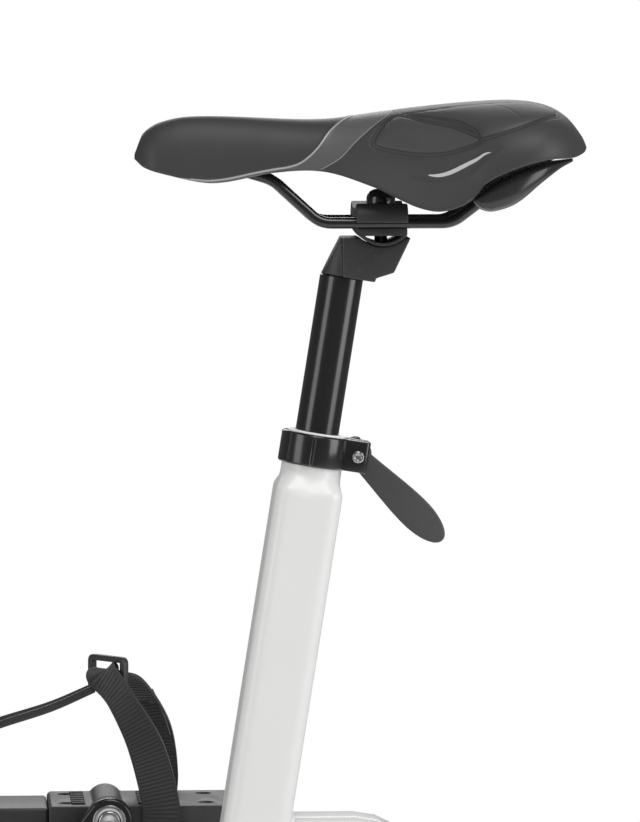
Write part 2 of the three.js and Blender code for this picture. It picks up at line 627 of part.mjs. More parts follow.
const saddlePad = () => saddleLayer(padPlaces, [0, 0], [PAD.side, PAD.crown]);
const saddleShell = () => saddleLayer(
  padPlaces.filter((s) => s <= 112 && s >= -99),
  [PAD.side + 1.8, PAD.crown + 1.8],
  [PAD.side + 4.2, PAD.crown + 5],
);

function saddleRails() {
  const half = [[-104, 31, 844], [-86, 30, 840], [-43, RAIL.y, RAIL.z], [39, RAIL.y, RAIL.z],
    [68, 11.5, 833], [96, 7, 841]];
  const other = half.map(([s, y, z]) => [s, -y, z]).reverse();
  const points = [...half, ...other].map(([s, y, z]) => [SADDLE_CLAMP.x + s, y, z]);
  return tubeAlong(bentPath(points, 6.5), RAIL.radius, 6, 60);
}

function saddleBumper() {
  const stations = [[-53, 60, 67, 820.5, 823.5], [-58, 46, 69, 816, 828], [-66, 43, 70, 815, 833.5],
    [-80, 42, 70, 820, 840.5], [-96, 40, 63, 832.5, 845], [-108, 38, 52, 841, 846.3],
    [-116, 37, 44, 845, 847]];
  return loft(stations.map(([s, y0, y1, z0, z1]) => Array.from({ length: 12 }, (_, i) => {
    const turn = (2 * Math.PI * (i + 0.5)) / 12;
    const shape = (value) => Math.sign(value) * Math.abs(value) ** 0.8;
    return new THREE.Vector3(
      SADDLE_CLAMP.x + s,
      (y0 + y1) / 2 + ((y1 - y0) / 2) * shape(Math.cos(turn)),
      (z0 + z1) / 2 + ((z1 - z0) / 2) * shape(Math.sin(turn)),
    );
  })));
}

// ---------------------------------------------------------------- cranks, pedals and belt drive
function bearing() {
  const [bore, cup, flange] = [CRANK_AXLE + GAP, SHELL.bore - GAP, SHELL.radius - 1];
  const [inside, face, outside] = [SHELL.halfWidth - 10, SHELL.halfWidth + GAP, SHELL.halfWidth + 2];
  return turnedY([
    [bore, inside], [cup, inside], [cup, face], [flange, face], [flange, outside], [bore, outside],
    [bore, inside],
  ]);
}

// The crank arm lies along +X in its own frame, with its inner face towards the bike.
function crankArm() {
  const { length, inner, thickness, eye, boss, bossInner } = CRANK;
  const outline = new THREE.Shape();
  outline.absarc(0, 0, boss, 1.4, 2 * Math.PI - 1.4);
  outline.absarc(length, 0, eye, -1.4, 1.4);
  outline.closePath();
  return geometryOf(cut(
    join(solid(plateY(outline, inner, inner + thickness, 7)), solid(rodY(boss, bossInner, inner + 2, 20))),
    solid(rodY(CRANK_AXLE + GAP, 0, 200)),
    solid(rodY(PEDAL.spindle + 1 + GAP, 0, 200), move(length, 0, 0)),
  ));
}

function pedalSpindle() {
  const r = PEDAL.spindle;
  const face = CRANK.inner + CRANK.thickness;
  return turnedY([
    [0, CRANK.inner - 1], [r + 1, CRANK.inner - 1], [r + 1, face + GAP], [9, face + GAP],
    [9, PEDAL.inner - 1.5], [r, PEDAL.inner - 1.5], [r, PEDAL.inner + PEDAL.width - 8],
    [0, PEDAL.inner + PEDAL.width - 8],
  ]);
}

const STRAP_SLOT = { front: -17, rear: -51, low: -8, high: -3.5 };

function pedalBody() {
  const { front, rear, inner, width, top, bottom, barrel, spindle } = PEDAL;
  const outline = new THREE.Shape();
  outline.moveTo(front, -bottom + 5);
  outline.lineTo(front, top - 2);
  outline.lineTo(front - 2, top);
  outline.lineTo(barrel, top);
  outline.absarc(0, 0, barrel + 1, 36 * DEG, 144 * DEG);
  outline.lineTo(-barrel - 3, top);
  outline.absarc(-rear + 7, top - 7, 7, Math.PI / 2, Math.PI);
  outline.lineTo(-rear, -bottom + 8);
  outline.lineTo(-rear + 8, -bottom);
  outline.lineTo(front - 5, -bottom);
  outline.closePath();
  const [y0, y1] = [inner, inner + width];
  return geometryOf(cut(
    solid(plateY(outline, y0, y1, 5)),
    solid(rodY(spindle + GAP, 0, y1 - 6)),
    solid(box(STRAP_SLOT.rear, STRAP_SLOT.front, y0 - 5, y1 + 5, STRAP_SLOT.low, STRAP_SLOT.high)),
  ));
}

const PEDAL_MIDDLE = PEDAL.inner + PEDAL.width / 2;

// The cage: a block on the pedal's front, and a bar over the toes that ends in the strap loop.
function toeCage() {
  const front = PEDAL.front + GAP;
  const block = solid(box(front, front + 34, PEDAL.inner + 5, PEDAL.inner + PEDAL.width - 7, -14, 5.5));
  const path = new THREE.CatmullRomCurve3([
    [62, -4], [92, 6], [108, 26], [100, 46], [68, 57], [36, 67], [8, 79],
  ].map(([x, z]) => new THREE.Vector3(x, 0, z)));
  const rings = path.getPoints(16).map((p, i) => {
    const along = path.getTangent(i / 16);
    const [nx, nz] = [-along.z * 2.5, along.x * 2.5];
    const half = 20 - (13 * i) / 16;
    return [[half, 1], [-half, 1], [-half, -1], [half, -1]].map(([y, side]) =>
      new THREE.Vector3(p.x + side * nx, PEDAL_MIDDLE + y, p.z + side * nz));
  });
  const [half, bar] = [STRAP.width / 2 + 1.5, 4];
  const loop = solid(box(-half - bar, half + bar, -2.5, 2.5, -12, 12), loopMatrix());
  const hole = solid(box(-half, half, -10, 10, -5.5, 8), loopMatrix());
  return geometryOf(cut(join(block, solid(loft(rings)), loop), hole));
}

const LOOP = { x: -1, y: PEDAL_MIDDLE - 8, z: 89, turn: 50 * DEG };
function loopMatrix() {
  return move(LOOP.x, LOOP.y, LOOP.z).multiply(new THREE.Matrix4().makeRotationZ(LOOP.turn));
}

// The strap is one closed band: through the pedal, up both sides and through the cage's loop.
function toeStrap() {
  const slotZ = (STRAP_SLOT.low + STRAP_SLOT.high) / 2;
  const slotX = (STRAP_SLOT.front + STRAP_SLOT.rear) / 2;
  const [near, far] = [PEDAL.inner, PEDAL.inner + PEDAL.width];
  const through = (run) => [LOOP.x - run * Math.sin(LOOP.turn), LOOP.y + run * Math.cos(LOOP.turn)];
  const stops = [
    [slotX, PEDAL_MIDDLE, slotZ, 0], [slotX, near - 1, slotZ, 0], [slotX, near - 4, slotZ + 3, 0],
    [slotX + 1, near - 2, 12, 0.1], [-24, near + 10, 45, 0.5], [-8, near + 17, 75, 0.9],
    [...through(-5), LOOP.z + 1, 1], [...through(5), LOOP.z + 1, 1], [-16, LOOP.y + 16, 82, 0.8],
    [-31, far - 12, 52, 0.4], [slotX - 2, far + 3, 18, 0.1], [slotX, far + 4, slotZ + 3, 0],
    [slotX, far + 1, slotZ, 0],
  ];
  const points = stops.map(([x, y, z]) => new THREE.Vector3(x, y, z));
  const path = new THREE.CatmullRomCurve3(points, true, 'centripetal');
  const steps = 3 * stops.length;
  const rings = Array.from({ length: steps }, (_, i) => {
    const place = i / 3;
    const [a, b] = [Math.floor(place), (Math.floor(place) + 1) % stops.length];
    const twist = (stops[a][3] + (stops[b][3] - stops[a][3]) * (place - a)) * LOOP.turn;
    const at = path.getPoint(i / steps);
    const along = path.getTangent(i / steps);
    const wide = new THREE.Vector3(Math.cos(twist), Math.sin(twist), 0);
    wide.addScaledVector(along, -wide.dot(along)).normalize();
    const thin = along.clone().cross(wide);
    return [[1, 1], [-1, 1], [-1, -1], [1, -1]].map(([u, v]) => at.clone()
      .addScaledVector(wide, (u * STRAP.width) / 2)
      .addScaledVector(thin, (v * STRAP.thickness) / 2));
  });
  return closedBand(rings);
}

function closedBand(rings) {
  const count = rings[0].length;
  const positions = rings.flat().flatMap((p) => [p.x, p.y, p.z]);
  const faces = [];
  rings.forEach((_, i) => {
    const next = ((i + 1) % rings.length) * count;
    for (let j = 0; j < count; j += 1) {
      const k = (j + 1) % count;
      faces.push(i * count + j, i * count + k, next + k, i * count + j, next + k, next + j);
    }
  });
  const geometry = new THREE.BufferGeometry();
  geometry.setAttribute('position', new THREE.Float32BufferAttribute(positions, 3));
  geometry.setIndex(facingOut(positions, faces));
  return geometry;
}

function drivePulley() {
  const { big, width } = PULLEY;
  const half = width / 2;
  return turnedY([
    [CRANK_AXLE + GAP, BELT_Y - 9], [24, BELT_Y - 9], [24, BELT_Y - 2], [big - 12, BELT_Y - 2],
    [big - 12, BELT_Y - half], [big, BELT_Y - half], [big, BELT_Y + half], [big - 12, BELT_Y + half],
    [big - 12, BELT_Y + 2], [24, BELT_Y + 2], [24, BELT_Y + 9], [CRANK_AXLE + GAP, BELT_Y + 9],
    [CRANK_AXLE + GAP, BELT_Y - 9],
  ], 28);
}

function driveBelt() {
  const { big, small } = PULLEY;
  const inside = 0.5;
  const outline = beltOutline(BRACKET, FLY_AXLE, big + inside + BELT.thickness,
    small + inside + BELT.thickness);
  outline.holes.push(beltOutline(BRACKET, FLY_AXLE, big + inside, small + inside));
  return plateY(outline, BELT_Y - BELT.width / 2, BELT_Y + BELT.width / 2, 10);
}

const guardHole = (radius) => solid(rodY(radius, -100, 0, 28), move(BRACKET.x, 0, BRACKET.z));
const axleHole = (radius) => solid(rodY(radius, -100, 0, 24), move(FLY_AXLE.x, 0, FLY_AXLE.z));
const guardOutline = (grow) => beltOutline(BRACKET, FLY_AXLE,
  PULLEY.big + GUARD.margin + grow, PULLEY.small + GUARD.margin + grow);

function guardCover() {
  const { inner, outer, wall } = GUARD;
  return geometryOf(cut(
    solid(plateY(guardOutline(0), outer, inner, 9)),
    solid(plateY(guardOutline(-wall), outer + wall, inner + 5, 9)),
    guardHole(CRANK_AXLE + 6),
    axleHole(FLY_AXLE.nut + 4),
  ));
}

function guardBack() {
  return geometryOf(cut(
    solid(plateY(guardOutline(-1), GUARD.inner + GAP, GUARD.inner + GAP + GUARD.plate, 9)),
    guardHole(SHELL.radius + 1),
    axleHole(20),
  ));
}

function flywheel() {
  const { radius, rimWidth, rimDepth, web, hub, hubHalf } = FLYWHEEL;
  const bore = FLY_AXLE.radius + GAP;
  const half = [[bore, hubHalf], [hub, hubHalf], [hub, web / 2], [radius - rimDepth, web / 2],
    [radius - rimDepth, rimWidth / 2], [radius - 2, rimWidth / 2], [radius, rimWidth / 2 - 2]];
  const other = half.map(([r, y]) => [r, -y]);
  return turnedY([...other, ...half.reverse(), other[0]], 32);
}

function flywheelPulley() {
  const bore = FLY_AXLE.radius + GAP;
  const [y0, y1] = [BELT_Y - PULLEY.width / 2, BELT_Y + PULLEY.width / 2];
  return turnedY([
    [bore, y0], [PULLEY.small, y0], [PULLEY.small, y1], [16, y1], [16, -FLYWHEEL.hubHalf - GAP],
    [bore, -FLYWHEEL.hubHalf - GAP], [bore, y0],
  ], 24);
}

function flywheelAxle() {
  const { radius, halfWidth, nut } = FLY_AXLE;
  const face = LEG.inner + LEG.thickness + GAP;
  return turnedY([
    [0, -halfWidth], [radius, -halfWidth], [radius, -face - 8], [nut, -face - 8], [nut, -face],
    [radius, -face], [radius, face], [nut, face], [nut, face + 8], [radius, face + 8],
    [radius, halfWidth], [0, halfWidth],
  ]);
}

// ---------------------------------------------------------------- brake
// The brake frame stands on the flywheel axle, with +Z out along the pressing rod.
const BRAKE_FRAME = leaning(FLY_AXLE, BRAKE_LEAN);
const PAD_TOP = FLYWHEEL.radius + BRAKE.lift + BRAKE.pad;

function brakePad() {
  return geometryOf(cut(
    solid(box(-34, 34, -13, 13, FLYWHEEL.radius - 5, PAD_TOP)),
    solid(rodY(FLYWHEEL.radius + BRAKE.lift, -30, 30, 128)),
  ));
}

const brakeRod = () => rodZ(BRAKE.rod, PAD_TOP + GAP, BRAKE.knobFrom + 14, 16);

function resistanceKnob() {
  const { knobFrom, knobTo, rod } = BRAKE;
  return turnedZ([
    [rod + GAP, knobFrom], [15, knobFrom], [22, knobFrom + 8], [22, knobTo - 5], [17, knobTo],
    [0, knobTo], [0, knobFrom + 14 + GAP], [rod + GAP, knobFrom + 14 + GAP], [rod + GAP, knobFrom],
  ]);
}

function brakeBracket() {
  const { rod, sleeveFrom, sleeveTo } = BRAKE;
  const middle = (sleeveFrom + sleeveTo) / 2;
  const sleeve = solid(rodZ(rod + 7, sleeveFrom, sleeveTo, 24));
  const armZ = FLY_AXLE.z + middle * Math.cos(BRAKE_LEAN);
  const armX = FLY_AXLE.x - middle * Math.sin(BRAKE_LEAN);
  const intoMast = MAST_FOOT.x - armX - MAST.size / 2;
  const arm = solid(box(intoMast, 0, -9, 9, -12, 12),
    inFrame(BRAKE_FRAME, move(armX, 0, armZ)));
  const behindMast = inFrame(BRAKE_FRAME, MAST_FRAME);
  return geometryOf(cut(
    join(sleeve, arm),
    solid(rodZ(rod + GAP, 0, 400, 20)),
    solid(box(-300, MAST.size / 2 + GAP, -60, 60, -300, 300), behindMast),
  ));
}

// ---------------------------------------------------------------- handlebar
const squareSleeve = (outer, inner, corner, z0, z1) => {
  const shape = roundedRect(outer, outer, corner);
  shape.holes.push(roundedRect(inner, inner, Math.max(corner - (outer - inner) / 2, 2)));
  return barZ(shape, z0, z1);
};

const handlebarPost = () => squareSleeve(HANDLE_POST.size, HANDLE_POST.size - 2 * WALL,
  HANDLE_POST.corner, HANDLE_POST.bottom, HANDLE_POST.top);

function handlebarBush() {
  const bore = MAST.size - 2 * MAST.wall;
  const inner = HANDLE_POST.size + 2 * GAP;
  const body = solid(squareSleeve(bore - 2 * GAP, inner, 6, MAST.above - 80, MAST.above + GAP + 1));
  const flange = solid(squareSleeve(MAST.size, inner, 6, MAST.above + GAP, MAST.above + 4));
  return geometryOf(join(body, flange));
}

function handlebar() {
  const { radius, halfWidth, reach, rise, horn, bend, lift, tip } = BAR;
  const half = [[reach, halfWidth - bend, rise], [reach + bend, halfWidth, rise + lift],
    [reach + horn, halfWidth, rise + tip]];
  const other = half.map(([x, y, z]) => [x, -y, z]).reverse();
  const bar = tubeAlong(bentPath([...other, ...half], 28), radius, 8, 28);
  const stem = box(-HANDLE_POST.size / 2 - 2, reach - 2, -18, 18, HANDLE_POST.top + GAP, rise + 16);
  const clamp = rodY(radius + 6, -24, 24, 24).translate(reach, 0, rise);
  return geometryOf(join(solid(bar), solid(stem), solid(clamp)));
}

function grip() {
  const { radius, halfWidth, reach, rise, horn, bend, lift, tip } = BAR;
  const from = new THREE.Vector3(reach + bend, halfWidth, rise + lift);
  const to = new THREE.Vector3(reach + horn, halfWidth, rise + tip);
  const length = from.distanceTo(to) - 38;
  const tilt = Math.atan2(to.z - from.z, to.x - from.x);
  const sleeve = turnedZ([
    [radius + 0.6, -length], [radius + 3.5, -length], [radius + 3, -length / 2],
    [radius + 3.5, 4], [0, 4], [0, 1], [radius + 0.6, 1], [radius + 0.6, -length],
  ]);
  sleeve.rotateY(Math.PI / 2 - tilt);
  return sleeve.translate(to.x, to.y, to.z);
}

function popKnob() {
  const face = MAST.size / 2;
  return turnedZ([
    [0, face - MAST.wall + 0.2], [5, face - MAST.wall + 0.2], [5, face + 6], [12, face + 6],
    [19, face + 12], [19, face + 30], [14, face + 34], [0, face + 34],
  ], 20).rotateY(-Math.PI / 2).translate(0, 0, KNOB_Z);
}

// ---------------------------------------------------------------- assembly
const bike = new THREE.Group();

function group(matrix, parent = bike) {
  const frame = new THREE.Group();
  matrix.decompose(frame.position, frame.quaternion, frame.scale);
  parent.add(frame);
  return frame;
}

function piece(name, geometry, material, parent = bike) {
  const mesh = new THREE.Mesh(geometry, material);
  mesh.name = name;
  parent.add(mesh);
}

const beamGroup = group(BEAM_FRAME);
const seatGroup = group(SEAT_FRAME);
const mastGroup = group(MAST_FRAME);
const bracketGroup = group(move(BRACKET.x, 0, BRACKET.z));
const flyGroup = group(move(FLY_AXLE.x, 0, FLY_AXLE.z));
const brakeGroup = group(BRAKE_FRAME);
const clampGroup = group(move(SADDLE_CLAMP.x, 0, SADDLE_CLAMP.z));

piece('main_beam', mainBeam(), WHITE_PAINT, beamGroup);
piece('seat_tube', seatTube(), WHITE_PAINT, seatGroup);
piece('rear_stay', rearStay(), GREY_PAINT);
piece('head_tube', headTube(), WHITE_PAINT, mastGroup);
piece('left_fork_leg', forkLeg(), WHITE_PAINT);
piece('right_fork_leg', mirrored(forkLeg()), WHITE_PAINT);
piece('rear_stabilizer', stabilizer(false), WHITE_PAINT, group(move(REAR_STABILIZER_X, 0, 0)));
piece('front_stabilizer', stabilizer(true), WHITE_PAINT, group(move(FRONT_STABILIZER_X, 0, 0)));
for (const [end, x] of [['rear', REAR_STABILIZER_X], ['front', FRONT_STABILIZER_X]]) {
  for (const [side, y] of [['left', FOOT.y], ['right', -FOOT.y]]) {
    piece(`${end}_${side}_foot`, levellingFoot(), RUBBER, group(move(x, y, 0)));
  }
}
const wheelGroup = group(move(WHEEL.x, 0, WHEEL.z));
piece('left_transport_wheel', transportWheel(), RUBBER, wheelGroup);
piece('right_transport_wheel', mirrored(transportWheel()), RUBBER, wheelGroup);

piece('seat_bush', seatBush(), WHITE_PLASTIC, seatGroup);
piece('seat_collar', seatCollar(), BLACK_GLOSS, seatGroup);
const leverGroup = group(leverMatrix, seatGroup);
piece('skewer', skewerRod(), STEEL, leverGroup);
piece('skewer_nut', skewerNut(), STEEL, leverGroup);
piece('quick_release_lever', quickLever(), DARK_PLASTIC, leverGroup);
piece('post_tube', turnedZ(ring(POST.radius - POST.wall, POST.radius, POST.bottom, POST.top), 32),
  BLACK_GLOSS, seatGroup);
piece('post_head', postHead(), BLACK_PLASTIC, clampGroup);
piece('lower_cradle', lowerCradle(), BLACK_PLASTIC, clampGroup);
piece('upper_clamp', upperClamp(), BLACK_PLASTIC, clampGroup);
piece('clamp_bolt', clampBolt(), BLACK_GLOSS, clampGroup);

piece('saddle_rails', saddleRails(), BLACK_GLOSS);
piece('saddle_shell', saddleShell(), BLACK_PLASTIC);
piece('saddle_pad', saddlePad(), VINYL);
piece('left_saddle_bumper', saddleBumper(), BLACK_GLOSS);
piece('right_saddle_bumper', mirrored(saddleBumper()), BLACK_GLOSS);

piece('left_bracket_bearing', bearing(), STEEL, bracketGroup);
piece('right_bracket_bearing', mirrored(bearing()), STEEL, bracketGroup);
piece('crank_axle', rodY(CRANK_AXLE, -CRANK.inner - 12, CRANK.inner + 12, 24), STEEL, bracketGroup);
piece('drive_pulley', drivePulley(), BLACK_PLASTIC, bracketGroup);

for (const [side, turn] of [['right', CRANK_ANGLE], ['left', CRANK_ANGLE + Math.PI]]) {
  const own = (geometry) => (side === 'right' ? mirrored(geometry) : geometry);
  const armGroup = group(new THREE.Matrix4().makeRotationY(-turn), bracketGroup);
  piece(`${side}_crank`, own(crankArm()), BLACK_GLOSS, armGroup);
  const pedalGroup = group(
    move(CRANK.length * Math.cos(turn), 0, CRANK.length * Math.sin(turn)),
    bracketGroup,
  );
  piece(`${side}_pedal_spindle`, own(pedalSpindle()), STEEL, pedalGroup);
  piece(`${side}_pedal`, own(pedalBody()), BLACK_PLASTIC, pedalGroup);
  piece(`${side}_toe_cage`, own(toeCage()), BLACK_PLASTIC, pedalGroup);
  piece(`${side}_toe_strap`, own(toeStrap()), WEBBING, pedalGroup);
}

piece('drive_belt', driveBelt(), RUBBER);
piece('belt_guard_cover', guardCover(), WHITE_PLASTIC);
piece('belt_guard_back', guardBack(), WHITE_PLASTIC);
piece('flywheel', flywheel(), CAST_IRON, flyGroup);
piece('flywheel_pulley', flywheelPulley(), BLACK_PLASTIC, flyGroup);
piece('flywheel_axle', flywheelAxle(), STEEL, flyGroup);

piece('brake_pad', brakePad(), RUBBER, brakeGroup);
piece('brake_rod', brakeRod(), STEEL, brakeGroup);
piece('resistance_knob', resistanceKnob(), BLACK_PLASTIC, brakeGroup);
piece('brake_bracket', brakeBracket(), WHITE_PAINT, brakeGroup);

piece('handlebar_post', handlebarPost(), STEEL, mastGroup);
piece('handlebar_bush', handlebarBush(), BLACK_PLASTIC, mastGroup);
piece('handlebar', handlebar(), BLACK_GLOSS, mastGroup);
piece('left_grip', grip(), RUBBER, mastGroup);
piece('right_grip', mirrored(grip()), RUBBER, mastGroup);
piece('mast_knob', popKnob(), BLACK_PLASTIC, mastGroup);

export default bike;
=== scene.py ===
# %% [markdown]
# # An indoor exercise bike, finished around its working model
#
# The working model gives every piece its true size and place, and says what each one moves with.
# Here each piece gets its looks: rounded edges, fine shapes and a finish with grain, wear and gloss.
# Sizes are written in millimetres times MM, because Blender's unit is the metre.

# %% Load the working model
import json
import math

import bmesh
import bpy
import numpy as np
from mathutils import Matrix, Vector


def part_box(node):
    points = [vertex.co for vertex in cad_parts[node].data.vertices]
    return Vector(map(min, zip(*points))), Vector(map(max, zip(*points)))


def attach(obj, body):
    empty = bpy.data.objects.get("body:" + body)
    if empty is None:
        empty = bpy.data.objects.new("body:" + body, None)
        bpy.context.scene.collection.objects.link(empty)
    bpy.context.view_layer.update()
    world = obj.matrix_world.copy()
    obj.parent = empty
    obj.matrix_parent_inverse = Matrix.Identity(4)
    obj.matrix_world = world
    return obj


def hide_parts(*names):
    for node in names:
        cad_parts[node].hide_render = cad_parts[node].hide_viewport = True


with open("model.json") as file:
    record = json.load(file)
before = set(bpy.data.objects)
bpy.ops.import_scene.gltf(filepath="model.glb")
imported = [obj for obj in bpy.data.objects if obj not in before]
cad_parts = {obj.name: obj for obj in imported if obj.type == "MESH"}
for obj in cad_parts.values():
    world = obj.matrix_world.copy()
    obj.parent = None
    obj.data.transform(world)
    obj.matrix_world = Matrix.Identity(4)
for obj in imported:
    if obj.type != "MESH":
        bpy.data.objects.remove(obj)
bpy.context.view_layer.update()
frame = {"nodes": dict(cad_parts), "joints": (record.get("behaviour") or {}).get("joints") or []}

MM = 0.001
joints = {joint["name"]: joint for joint in frame["joints"]}

# %% [markdown]
# The joints say where the bike's axes are. Measuring from them, and not from typed numbers, keeps
# the looks in step with the working model when somebody changes a size there.

# %% Axes and places taken from the joints
def pivot(name):
    return Vector(joints[name]["pos_m"])


def heading(name):
    return Vector(joints[name]["axis"]).normalized()


def standing(place, up):
    """A frame at place whose Z runs along up, and whose Y stays the rider's left."""
    side = Vector((0, 1, 0))
    front = side.cross(up).normalized()
    return Matrix.Translation(place) @ Matrix((front, side, up)).transposed().to_4x4()


def half_width(node):
    low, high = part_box(node)
    return (high.y - low.y) / 2


BRACKET = pivot("crank_spin")
FLY_AXLE = pivot("flywheel_spin")
CLAMP = pivot("saddle_tilt")
SEAT_UP = heading("seat_height")
MAST_UP = heading("handlebar_height")
post_low, post_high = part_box("post_tube")
collar_low, collar_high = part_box("seat_collar")
LEVER_PIN = pivot("lever_swing")
COLLAR_HEIGHT = 20 * MM
SKEWER_BEHIND = 27 * MM
cam_to_collar = Vector((SKEWER_BEHIND, 0, COLLAR_HEIGHT / 2))
seat_turn = standing(Vector(), SEAT_UP)
seat_top = Vector((LEVER_PIN.x, 0, LEVER_PIN.z)) + seat_turn.to_3x3() @ cam_to_collar
SEAT_FRAME = standing(seat_top, SEAT_UP)
AXLE_TURN = Matrix.Rotation(-math.pi / 2, 4, "X")
print("seat collar top at", [round(v, 4) for v in seat_top])

# %% [markdown]
# ## Camera, floor and light
# A long lens far away shows the bike's side almost without perspective. It stands on the rider's
# left, a little towards the front, and looks slightly down on the saddle.

# %% Camera
LENS = 294.3
CAMERA_PLACE = Vector((-0.0723, 4.1812, 0.992))
CAMERA_AIM = Vector((-0.328, 0, 0.688))
bpy.ops.object.camera_add(location=CAMERA_PLACE)
camera = bpy.context.object
camera.name = "side_camera"
camera.data.lens = LENS
camera.rotation_euler = (CAMERA_AIM - CAMERA_PLACE).to_track_quat("-Z", "Y").to_euler()
bpy.context.scene.camera = camera
print("camera at", [round(v, 3) for v in CAMERA_PLACE])

# %% [markdown]
# ## Small tools
# Operators work on whatever is selected, so every step starts from nothing selected. Faces and
# edges are then picked by where they are or which way they look, as a hand would pick them.

# %% Selecting
def only(*objects):
    if bpy.context.object and bpy.context.object.mode != "OBJECT":
        bpy.ops.object.mode_set(mode="OBJECT")
    bpy.ops.object.select_all(action="DESELECT")
    for each in objects:
        each.select_set(True)
    bpy.context.view_layer.objects.active = objects[0]


def pick(piece, test, kind="FACE"):
    """Opens the piece in edit mode with the faces or edges selected that pass the test."""
    only(piece)
    bpy.ops.object.mode_set(mode="EDIT")
    bpy.ops.mesh.select_mode(type=kind)
    bpy.ops.mesh.select_all(action="DESELECT")
    mesh = bmesh.from_edit_mesh(piece.data)
    for element in mesh.faces if kind == "FACE" else mesh.edges:
        if test(element):
            element.select_set(True)
    mesh.select_flush_mode()
    bmesh.update_edit_mesh(piece.data)


def close_edit():
    bpy.ops.object.mode_set(mode="OBJECT")


def outwards(piece):
    only(piece)
    bpy.ops.object.mode_set(mode="EDIT")
    bpy.ops.mesh.select_all(action="SELECT")
    bpy.ops.mesh.normals_make_consistent(inside=False)
    close_edit()


def centre_of(edge):
    return (edge.verts[0].co + edge.verts[1].co) / 2

# %% Rounding edges and smoothing
def rounded(piece, edge, steps=3, angle=30, smooth=38):
    only(piece)
    if edge:
        bevel = piece.modifiers.new("round", "BEVEL")
        bevel.width = edge
        bevel.segments = steps
        bevel.limit_method = "ANGLE"
        bevel.angle_limit = math.radians(angle)
        bevel.use_clamp_overlap = False
        bpy.ops.object.modifier_apply(modifier="round")
    bpy.ops.object.shade_smooth_by_angle(angle=math.radians(smooth))
    return piece


def drilled(piece, *cutters):
    """Cuts each cutter's shape out of the piece, and throws the cutter away."""
    for cutter in cutters:
        only(piece)
        cut = piece.modifiers.new("cut", "BOOLEAN")
        cut.operation = "DIFFERENCE"
        cut.solver = "EXACT"
        cut.object = cutter
        bpy.ops.object.modifier_apply(modifier="cut")
        bpy.data.objects.remove(cutter)
    return piece


def joined(name, *pieces):
    only(*pieces)
    if len(pieces) > 1:
        bpy.ops.object.join()
    bpy.context.object.name = name
    return bpy.context.object

# %% [markdown]
# A turned piece starts as a circle. Each step of its profile pulls the rim out and widens or
# narrows it, which is what a lathe does. A plate starts as a flat outline pulled to a thickness.

# %% Turned pieces, plates and tubes
def turned(name, profile, segments=64):
    """A solid of revolution about Z from (radius, height) pairs: a ring, if it ends where it began."""
    bpy.ops.mesh.primitive_circle_add(vertices=segments, radius=profile[0][0], fill_type="NOTHING")
    piece = bpy.context.object
    piece.name = name
    bpy.ops.object.mode_set(mode="EDIT")
    bpy.ops.mesh.select_all(action="SELECT")
    bpy.ops.transform.translate(value=(0, 0, profile[0][1]))
    for (radius, height), (wider, higher) in zip(profile, profile[1:]):
        bpy.ops.mesh.extrude_edges_move(TRANSFORM_OT_translate={"value": (0, 0, higher - height)})
        growth = wider / radius
        bpy.ops.transform.resize(value=(growth, growth, 1), center_override=(0, 0, higher))
    bpy.ops.mesh.select_all(action="SELECT")
    bpy.ops.mesh.remove_doubles(threshold=1e-6)
    if profile[0] != profile[-1]:
        bpy.ops.mesh.select_all(action="SELECT")
        bpy.ops.mesh.fill_holes(sides=0)
    bpy.ops.mesh.select_all(action="SELECT")
    bpy.ops.mesh.normals_make_consistent(inside=False)
    close_edit()
    return piece


def plate(name, outline, y0, y1):
    """A flat piece across the bike from an outline of (x, z) points, between two places of y."""
    bpy.ops.mesh.primitive_circle_add(vertices=len(outline), radius=1, fill_type="NGON")
    piece = bpy.context.object
    piece.name = name
    for vertex, (x, z) in zip(piece.data.vertices, outline):
        vertex.co = (x, y0, z)
    bpy.ops.object.mode_set(mode="EDIT")
    bpy.ops.mesh.select_all(action="SELECT")
    bpy.ops.mesh.extrude_region_move(TRANSFORM_OT_translate={"value": (0, y1 - y0, 0)})
    bpy.ops.mesh.select_all(action="SELECT")
    bpy.ops.mesh.normals_make_consistent(inside=False)
    close_edit()
    return piece


def block(name, low, high):
    bpy.ops.mesh.primitive_cube_add(size=1)
    piece = bpy.context.object
    piece.name = name
    low, high = Vector(low), Vector(high)
    piece.location = (low + high) / 2
    piece.scale = high - low
    bpy.ops.object.transform_apply(location=True, rotation=True, scale=True)
    return piece


def wire(name, points, radius, sides=6, bend=None):
    """A round bar along straight runs, with a soft bend of the given reach at each corner."""
    corners = [Vector(p) for p in points]
    route = [corners[0]]
    for before, corner, after in zip(corners, corners[1:], corners[2:]):
        into = corner + (before - corner).normalized() * bend
        out = corner + (after - corner).normalized() * bend
        for i in range(9):
            t = i / 8
            route.append(into * (1 - t) ** 2 + corner * 2 * t * (1 - t) + out * t ** 2)
    route.append(corners[-1])
    bpy.ops.curve.primitive_nurbs_path_add()
    path = bpy.context.object
    path.name = name
    path.data.splines.clear()
    spline = path.data.splines.new("POLY")
    spline.points.add(len(route) - 1)
    for point, place in zip(spline.points, route):
        point.co = (*place, 1)
    path.data.dimensions = "3D"
    path.data.bevel_depth = radius
    path.data.bevel_resolution = sides
    path.data.use_fill_caps = True
    bpy.ops.object.convert(target="MESH")
    bpy.ops.object.mode_set(mode="EDIT")
    bpy.ops.mesh.select_all(action="SELECT")
    bpy.ops.mesh.remove_doubles(threshold=1e-6)
    bpy.ops.mesh.normals_make_consistent(inside=False)
    close_edit()
    return rounded(bpy.context.object, 0)


